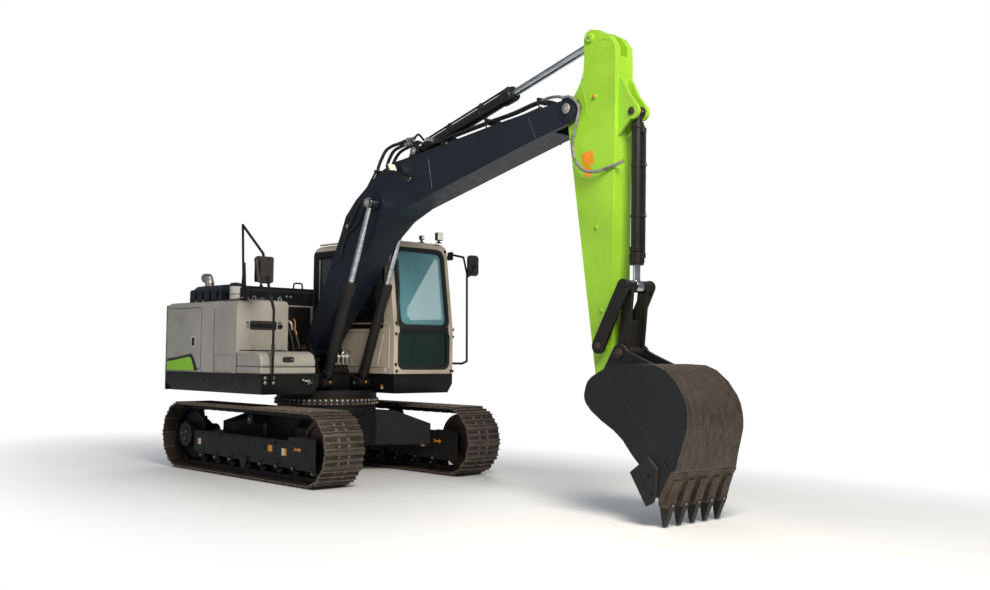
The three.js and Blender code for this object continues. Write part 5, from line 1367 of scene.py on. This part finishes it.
def build_boom():
    refine("boom", "boom_paint", 5)
    p = Piece("boom_details", "boom", "boom_paint", BOOM)
    for s in (-1, 1):
        y = s * BOOM_SIDE
        cx, cz = EYES["boom_cylinder"]
        for r in (112, 138):
            weld(p, [(cx + r * math.cos(math.radians(a)), y, cz + r * math.sin(math.radians(a)))
                     for a in range(0, 361, 20)], 5)
        weld(p, [(2919, y, 770), (2870, y, 610), (2822, y, 450)])
        weld(p, [(4350, y, 240), (4344, y, 110), (4338, y, -10)])
        weld(p, [(560, y, 330), (700, y, 200), (860, y, 90)], 5)
        p.use("boom_paint").lathe((BOOM_LENGTH, y - s * 2, 0), (0, s, 0), [(0, 122), (12, 122), (16, 116), (17, 0.5)],
                                  36)
    p.use("bright_steel")
    for s in (-1, 1):
        pin_cap(p, BOOM_LENGTH, 0, s * (BOOM_SIDE + 24), s, 50)
        pin_cap(p, *EYES["arm_cylinder"], s * 92, s, 44)
        pin_cap(p, *EYES["boom_cylinder"], s * 322, s, 46)
        p.use("bearing_steel")
        pin_cap(p, 0, 0, s * BOOM_CYLINDER_Y, s, 60, 3)
        p.use("bright_steel")
    p.done()

    # pipes along the top, with their clamps and the hoses at each end
    p = Piece("boom_pipes", "boom", "hose", BOOM)
    top = [(1390, 905), (1560, 1000), (1760, 1085), (1930, 1150), (2060, 1196)]
    for y in (-150, -112, 60, 98):
        p.tube([(1100, y, 760)] + [(x, y, z + 8) for x, z in top], 13, 8)
    for y in (-118, -70):
        p.use("hose")
        p.tube([(3063, y, 900), (3368, y, 786), (3770, y, 628), (4150, y, 470), (4400, y, 386), (4540, y, 326)], 14, 9)
    for y in (30, 74):
        p.tube([(2750, y, 1020), (3063, y, 900), (3770, y, 622), (4150, y, 466), (4400, y, 380)], 14, 9)
    for x, z in ((3816, 590), (4519, 318), (3180, 838)):
        p.use("dark_paint")
        cable_clamp(p, (x, -94, z + 18), (0, 1, 0), (0.38, 0, 1), 120, 58)
        cable_clamp(p, (x, 52, z + 18), (0, 1, 0), (0.38, 0, 1), 120, 58)
        p.tube([(x, -160, z + 10), (x + 4, -176, z - 20), (x + 10, -184, z - 110)], 8, 8)
    # the two arcs of hose at the arm cylinder's foot
    p.use("hose")
    p.tube([(2050, -118, 1196), (2085, -116, 1250), (2168, -112, 1304), (2283, -108, 1349), (2400, -104, 1330),
            (2498, -98, 1291), (2645, -92, 1240)], 19, 10)
    p.tube([(2170, -60, 1200), (2215, -62, 1250), (2353, -70, 1292), (2480, -76, 1262), (2581, -80, 1225)], 19, 10)
    p.tube([(2050, 70, 1196), (2140, 74, 1290), (2283, 78, 1340), (2440, 80, 1310), (2640, 82, 1230)], 19, 10)
    p.use("silver_hose")
    p.tube([(2645, -92, 1240), (2690, -90, 1212), (2741, -88, 1190)], 23, 10)
    p.tube([(2581, -80, 1225), (2640, -80, 1196), (2690, -80, 1170)], 23, 10)
    p.use("bright_steel")
    p.rod((2641, -92, 1242), (2660, -92, 1230), 28, 6)
    p.rod((2578, -80, 1227), (2597, -80, 1216), 28, 6)
    p.use("hose")
    p.tube([(2741, -88, 1190), (2800, -92, 1190), (2836, -96, 1170), (2862, -98, 1110), (2880, -100, 1060)], 13, 8)
    p.tube([(2690, -80, 1170), (2780, -84, 1120), (2850, -88, 1040), (2960, -92, 960), (3063, -94, 905)], 13, 8)
    p.use("dark_paint")
    cable_clamp(p, (2060, -98, 1202), (0, 1, 0), (-0.5, 0, 1), 130, 46)
    cable_clamp(p, (1420, -130, 925), (0, 1, 0), (-0.6, 0, 1), 110, 46)
    p.use("bright_steel")
    cable_clamp(p, (2960, -104, 1010), (0, 1, 0), (0.38, 0, 1), 90, 40)
    # loops on the right side near the foot
    p.use("hose")
    p.tube([(1700, -184, 1020), (1620, -192, 1000), (1480, -194, 930), (1340, -194, 860), (1200, -192, 760),
            (1050, -188, 640)], 11, 8)
    p.tube([(1760, -184, 1040), (1700, -194, 900), (1560, -196, 830), (1400, -194, 820), (1240, -192, 830)], 9, 8)
    p.use("bright_steel").box(1330, 1372, -200, -182, 880, 930, 5)
    p.ball((1352, -204, 906), 11)
    p.done()

    face = -BOOM_SIDE
    p = Piece("work_lamp", "boom", "dark_paint", BOOM)
    p.box(2525, 2585, face - 8, face, 720, 780, 3)
    p.tube([(2555, face - 6, 752), (2555, face - 60, 760), (2480, face - 84, 880), (2440, face - 84, 940)], 12, 9)
    p.use("bright_steel").bolt((2540, face - 8, 750), (0, -1, 0), 10, 8)
    p.bolt((2570, face - 8, 750), (0, -1, 0), 10, 8)
    p.use("plastic").box(2402, 2450, face - 149, face - 36, 922, 1023, 10)
    p.use("lens").plate(rounded(face - 142, face - 43, 930, 1015, 12), 2448, 2455, plane="yz", c=3)
    p.done(["boom_light"])


def cylinder_matrix(foot, eye, y):
    return member_frame(MACHINE, foot[0], y, foot[1], math.degrees(math.atan2(eye[1] - foot[1], eye[0] - foot[0])))


def machine_point(member, x, z):
    at = MACHINE.inverted() @ member @ Vector((x, 0, z))
    return at.x, at.z


def dress_cylinder(name, matrix, length, radius, rod, pipes=True):
    """Gland, bands, pressure pipe and grease point of a cylinder; the rod gets its eye and wiper."""
    refine(name + "_barrel", "cylinder_paint", 4)
    refine(name + "_rod", "rod_chrome", 3)
    p = Piece(name + "_fittings", name + "_barrel", "cylinder_paint", matrix)
    p.lathe((length - 168, 0, 0), (1, 0, 0), [(0, radius + 2), (4, radius + 12), (44, radius + 12), (48, radius + 4),
                                              (60, radius + 4),
                                            (64, radius + 15), (146, radius + 15), (152, radius + 8), (154, rod + 12),
                                              (166, rod + 10), (168, rod + 3)], 32)
    for k in range(10):
        a = math.radians(36 * k)
        p.bolt((length - 15, (radius - 2) * math.cos(a), (radius - 2) * math.sin(a)), (1, 0, 0), 7, 7)
    p.lathe((120, 0, 0), (1, 0, 0), [(0, radius + 1), (6, radius + 8), (30, radius + 8), (36, radius + 1)], 28)
    if pipes:
        up = radius + 22
        p.box(150, 200, -24, 24, radius - 6, up + 8, 4)
        p.box(length - 110, length - 60, -22, 22, radius + 4, up + 12, 4)
        p.tube([(175, 0, up), (240, 0, up + 6), (length - 240, 0, up + 6), (length - 130, 0, up + 6),
                (length - 84, 0, up + 2)], 12, 10)
        for at in (0.35, 0.68):
            x = length * at
            p.lathe((x - 14, 0, 0), (1, 0, 0), [(0, radius + 1), (2, radius + 6), (26, radius + 6), (28, radius + 1)],
                    28)
            p.box(x - 16, x + 16, -18, 18, radius + 2, up + 20, 3)
            p.use("bright_steel").bolt((x, 0, up + 20), (0, 0, 1), 7, 7)
            p.use("cylinder_paint")
    p.use("red_cap").lathe((0, 0, 40), (0, 0, 1), [(0, 12), (18, 11), (22, 7), (23, 0.5)], 12)
    p.done()


def build_cylinders():
    eye = machine_point(BOOM, *EYES["boom_cylinder"])
    for hand, s in (("right", -1), ("left", 1)):
        dress_cylinder("boom_cylinder_" + hand, cylinder_matrix(CYLINDER_FOOT, eye, BOOM_Y + s * BOOM_CYLINDER_Y),
                       *CYLINDERS["boom"], False)
    foot = machine_point(BOOM, *EYES["arm_cylinder"])
    end = machine_point(ARM, -600, 330)
    dress_cylinder("arm_cylinder", cylinder_matrix(foot, end, BOOM_Y), *CYLINDERS["arm"])
    foot = machine_point(ARM, 225, 670)
    end = machine_point(ARM, 1795, 395)
    dress_cylinder("bucket_cylinder", cylinder_matrix(foot, end, BOOM_Y), *CYLINDERS["bucket"])


def build_boom_foot():
    """Pipes that leave the swivel block in front of the boom's foot, and the ears' grease caps."""
    p = Piece("valve_pipes", "upper", "dark_paint")
    for y in (-118, -62, 2, 58):
        p.use("bright_steel").rod((312, y, 1296), (318, y, 1378), 21, 12)
        p.rod((310, y, 1286), (312, y, 1306), 29, 6)
        p.use("white").rod((318, y, 1376), (320, y, 1400), 24, 12)
        p.use("hose").tube([(286, y, 1296), (280, y, 1240), (270, y + 4, 1200)], 16, 9)
    p.use("exhaust_steel")
    p.tube([(298, -62, 1368), (304, -64, 1420), (300, -96, 1452), (296, -160, 1452), (292, -196, 1420)], 12, 9)
    p.tube([(298, 2, 1368), (304, 4, 1420), (300, 36, 1452), (296, 100, 1452), (292, 136, 1420)], 12, 9)
    p.tube([(298, -118, 1368), (300, -124, 1404), (306, -160, 1404), (312, -188, 1360), (318, -196, 1290)], 11, 9)
    p.tube([(298, 58, 1368), (300, 64, 1404), (306, 100, 1404), (312, 128, 1360), (318, 136, 1290)], 11, 9)
    p.use("dark_paint").box(236, 290, -160, 100, 1186, 1290, 8)
    for s in (-1, 1):
        y = BOOM_Y + s * BOOM_CYLINDER_Y
        for t in (-1, 1):
            p.use("dark_paint").lathe((378, y + t * 96, 1068), (0, t, 0), [(0, 60), (6, 60), (10, 54), (11, 0.5)], 24)
            p.use("bright_steel").bolt((378, y + t * 106, 1068), (0, t, 0), 14, 9)
        p.use("orange").lathe((430, y + 30, 1080), (1, 0, 0), [(0, 13), (14, 12), (18, 6), (19, 0.5)], 12)
    p.done()


# length of each barrel, its radius and its rod's radius
CYLINDERS = dict(boom=(1270, 60, 35), arm=(1560, 66, 40), bucket=(1400, 56, 34))
CYLINDER_FOOT = (378, 1068)  # pin of the boom cylinders on the deck

build_boom()
build_cylinders()
build_boom_foot()

# ------------------------------------------------------------------ arm, linkage and bucket

ARM_SIDE = 125
ARM_HOSE_Y = -196       # the hose's way past the arm, on its right
BUCKET_HALF = 440


def build_arm():
    refine("arm", "arm_paint", 7)
    p = Piece("arm_details", "arm", "arm_paint", ARM)
    for s in (-1, 1):
        y = s * ARM_SIDE
        weld(p, [(-233, y, 151), (-76, y, 171), (53, y, 178), (130, y, 153), (205, y, 81)], 4)
        weld(p, [(-233, y, 151), (-435, y, 283), (-524, y, 387), (-532, y, 495), (-493, y, 560)], 4)
        weld(p, [(300, y, 486), (697, y, 408), (1260, y, 302), (1795, y, 205)], 3)
        p.lathe((-33, y - s * 2, 299), (0, s, 0), [(0, 24), (14, 23), (17, 18), (18, 0.5)], 20)
        for x, z in ((1180, 120), (ARM_LENGTH - 720, 60)):
            p.lathe((x, y - s * 2, z), (0, s, 0), [(0, 21), (12, 20), (15, 15), (16, 0.5)], 18)
    for x, z, radius in ((-600, 330, 40), (0, 0, 46)):
        for s in (-1, 1):
            p.use("bright_steel")
            pin_cap(p, x, z, s * (ARM_SIDE + (4 if x else 82)), s, radius)
    for x, z in ((225, 670), (ARM_LENGTH - 394, 25)):
        for s in (-1, 1):
            p.use("bearing_steel")
            pin_cap(p, x, z, s * (91 if x == 225 else 203), s, 36)
    p.use("red_cap")
    p.lathe((-33, -ARM_SIDE - 15, 299), (0, -1, 0), [(0, 12), (10, 11), (13, 6), (14, 0.5)], 14)
    p.use("orange")
    p.plate(rounded(456, 582, 50, 190, 8), -ARM_SIDE - 1.5, -ARM_SIDE + 1)
    p.plate(rounded(596, 690, 60, 150, 8), -ARM_SIDE - 1.5, -ARM_SIDE + 1)
    p.done()


def build_arm_hose():
    """The looped hose from the pipes on the boom's nose to the bucket cylinder's barrel pipe."""
    y = ARM_HOSE_Y
    p = Piece("arm_hose", "boom", "silver_hose", ARM)
    p.tube([(-218, -118, -370), (-200, -150, -247), (-161, y + 10, -114), (-126, y, -37), (-90, y, 68), (37, y, 148),
            (186, y, 88), (334, y, 19), (518, y, 26), (642, y, 114), (688, y + 20, 249), (681, y + 50, 389),
            (661, y + 80, 528)], 15, 12)
    p.done(across=("boom", "arm", ARM @ Vector((-161, y, -114)), ARM @ Vector((200, y, 90))))


def build_linkage():
    for node in ("bucket_link", "idler_link_right", "idler_link_left"):
        refine(node, "link_paint", 6)


def is_wrapper(face):
    """The bucket's curved sheet, whose faces don't look sideways."""
    return abs(face.normal.y) < 0.6


def build_bucket():
    refine("bucket", "bucket_paint", 5, paint_faces=("wrapper_steel", is_wrapper))
    p = Piece("bucket_details", "bucket", "bucket_paint", BUCKET)
    for s in (-1, 1):
        # the sides lean in above the lip, so the seam follows the plate
        def side(x, z, out=0):
            lean = 1 - 0.08 * max(z + 655, 0) / BUCKET_HALF
            return (x, s * (BUCKET_HALF * lean + out), z)

        weld(p, [side(145, 169), side(360, -20), side(560, -230), side(760, -440), side(932, -644)], 6)
        p.use("link_paint")
        for x, z in ((640, -690), (690, -780), (740, -700), (770, -840)):
            p.bolt((x, s * (BUCKET_HALF + 24), z), (0, s, 0), 17, 12)
        p.use("bearing_steel")
        pin_cap(p, 0, 0, s * 178, s, 52)
        pin_cap(p, 180, 325, s * 178, s, 44)
        p.use("bucket_paint")
    p.done()
    build_teeth()


def build_teeth():
    """The lip, its adapters and the tapered teeth."""
    p = Piece("bucket_lip", "bucket", "edge_steel", BUCKET)
    p.plate([(959, -651), (831, -893), (861, -907), (875, -891), (1011, -665), (1001, -631)],
            -BUCKET_HALF, BUCKET_HALF, c=4)
    for k in (-2, -1, 0, 1, 2):
        y = 185 * k
        # middle of the tooth, half depth and half width, from its root to its tip
        sections = [(878, -815, 62, 40), (876, -930, 56, 38), (866, -1000, 38, 30), (855, -1080, 18, 25),
                    (852, -1112, 7, 22)]
        verts = [(x + d * a, y + w * b, z) for x, z, d, w in sections for a, b in ((-1, -1), (1, -1), (1, 1), (-1, 1))]
        last = 4 * (len(sections) - 1)
        faces = [[0, 1, 2, 3], [last, last + 1, last + 2, last + 3]]
        for row in range(len(sections) - 1):
            faces += [[4 * row + i, 4 * row + (i + 1) % 4, 4 * row + 4 + (i + 1) % 4, 4 * row + 4 + i]
                      for i in range(4)]
        p.use("link_paint").add(verts, faces)
        p.use("edge_steel").plate([(812, -800), (814, -930), (826, -952), (912, -952), (926, -930), (962, -810),
                                   (992, -725), (962, -716)], y - 50, y + 50, c=9)
        p.use("bright_steel").lathe((925, y, -925), (1, 0, 0.3), [(0, 16), (7, 13), (9, 0.5)], 14)
    p.done(["cutting_edge"])


build_arm()
build_arm_hose()
build_linkage()
build_bucket()


# ------------------------------------------------------------------ camera, light and floor


# the camera fitted to the photograph: millimetres of lens, radians, metres from the swing's axis
LENS = 39.57
YAW, PITCH, ROLL = 2.378717, 0.054336, 0.009891
EYE = Vector((11.0496, -7.7582, 1.4252))


def camera():
    data = bpy.data.cameras.new("camera")
    data.sensor_width = 36
    data.lens = LENS
    data.shift_x = 0.00133
    data.shift_y = 0.0004
    data.clip_end = 400
    thing = bpy.data.objects.new("camera", data)
    bpy.context.scene.collection.objects.link(thing)
    yaw, pitch, roll = YAW, PITCH, ROLL
    forward = Vector((math.cos(yaw) * math.cos(pitch), math.sin(yaw) * math.cos(pitch), math.sin(pitch)))
    right = Vector((math.sin(yaw), -math.cos(yaw), 0))
    up = right.cross(forward)
    across = right * math.cos(roll) + up * math.sin(roll)
    upright = up * math.cos(roll) - right * math.sin(roll)
    turn = Matrix((across, upright, -forward)).transposed().to_4x4()
    thing.matrix_world = Matrix.Translation(swing_axis + EYE) @ turn
    bpy.context.scene.camera = thing


def lamp(name, at, target, size, power, colour):
    data = bpy.data.lights.new(name, "AREA")
    data.shape = "DISK"
    data.size = size
    data.energy = power
    data.color = colour
    thing = bpy.data.objects.new(name, data)
    bpy.context.scene.collection.objects.link(thing)
    at, target = swing_axis + Vector(at), swing_axis + Vector(target)
    thing.location = at
    thing.rotation_euler = (target - at).to_track_quat("-Z", "Y").to_euler()


def world_light():
    world = bpy.data.worlds.new("studio")
    bpy.context.scene.world = world
    world.use_nodes = True
    tree = world.node_tree
    tree.nodes.clear()
    out = tree.nodes.new("ShaderNodeOutputWorld")
    mix = tree.nodes.new("ShaderNodeMixShader")
    seen = tree.nodes.new("ShaderNodeBackground")
    seen.inputs["Color"].default_value = (1, 1, 1, 1)
    soft = tree.nodes.new("ShaderNodeBackground")
    soft.inputs["Color"].default_value = (0.82, 0.90, 1.0, 1)
    soft.inputs["Strength"].default_value = 0.26
    path = tree.nodes.new("ShaderNodeLightPath")
    either = tree.nodes.new("ShaderNodeMath")
    either.operation = "MAXIMUM"
    tree.links.new(path.outputs["Is Camera Ray"], either.inputs[0])
    tree.links.new(path.outputs["Is Transmission Ray"], either.inputs[1])
    tree.links.new(either.outputs[0], mix.inputs[0])
    tree.links.new(soft.outputs[0], mix.inputs[1])
    tree.links.new(seen.outputs[0], mix.inputs[2])
    tree.links.new(mix.outputs[0], out.inputs[0])


def floor():
    g = Graph("floor")
    spread = g.add("ShaderNodeMapping", Vector=g.place, Location=(-0.135, 0, 0), Scale=(0.45, 1, 0)).outputs[0]
    distance = g.add("ShaderNodeVectorMath", {"operation": "LENGTH"})
    g.put(distance, "0", spread)
    away = g.ramp(distance.outputs["Value"], 2.0, 4.4)
    tone = g.mix(g.ramp(g.noise(0.6, 3), 0.3, 0.7), (0.92, 0.92, 0.92, 1), (0.95, 0.95, 0.95, 1))
    g.shade(Base_Color=tone, Roughness=0.7)
    glow = g.add("ShaderNodeEmission", Color=(1, 1, 1, 1), Strength=1.0).outputs[0]
    seen = g.math("MULTIPLY", away, g.add("ShaderNodeLightPath").outputs["Is Camera Ray"])
    blend = g.add("ShaderNodeMixShader")
    for key, value in (("0", seen), ("1", g.shader.outputs[0]), ("2", glow)):
        g.put(blend, key, value)
    g.tree.links.new(blend.outputs[0], g.tree.nodes["Material Output"].inputs["Surface"])
    mesh = bpy.data.meshes.new("floor")
    r = 60
    mesh.from_pydata([(-r, -r, 0), (r, -r, 0), (r, r, 0), (-r, r, 0)], [], [(0, 1, 2, 3)])
    mesh.materials.append(g.material)
    thing = bpy.data.objects.new("floor", mesh)
    thing.location = (0, 0, -0.002)
    bpy.context.scene.collection.objects.link(thing)


camera()
world_light()
lamp("key", (9, -3.0, 7), (0.5, 0, 1.2), 4, 820, (1.0, 0.94, 0.84))
lamp("side", (-1, -11, 4.5), (0.5, 0, 1.2), 6, 90, (0.93, 0.96, 1.0))
lamp("back", (-6, 8, 6), (0, 0, 1.5), 6, 300, (1.0, 0.98, 0.95))
floor()
bpy.context.scene.view_settings.view_transform = "Standard"
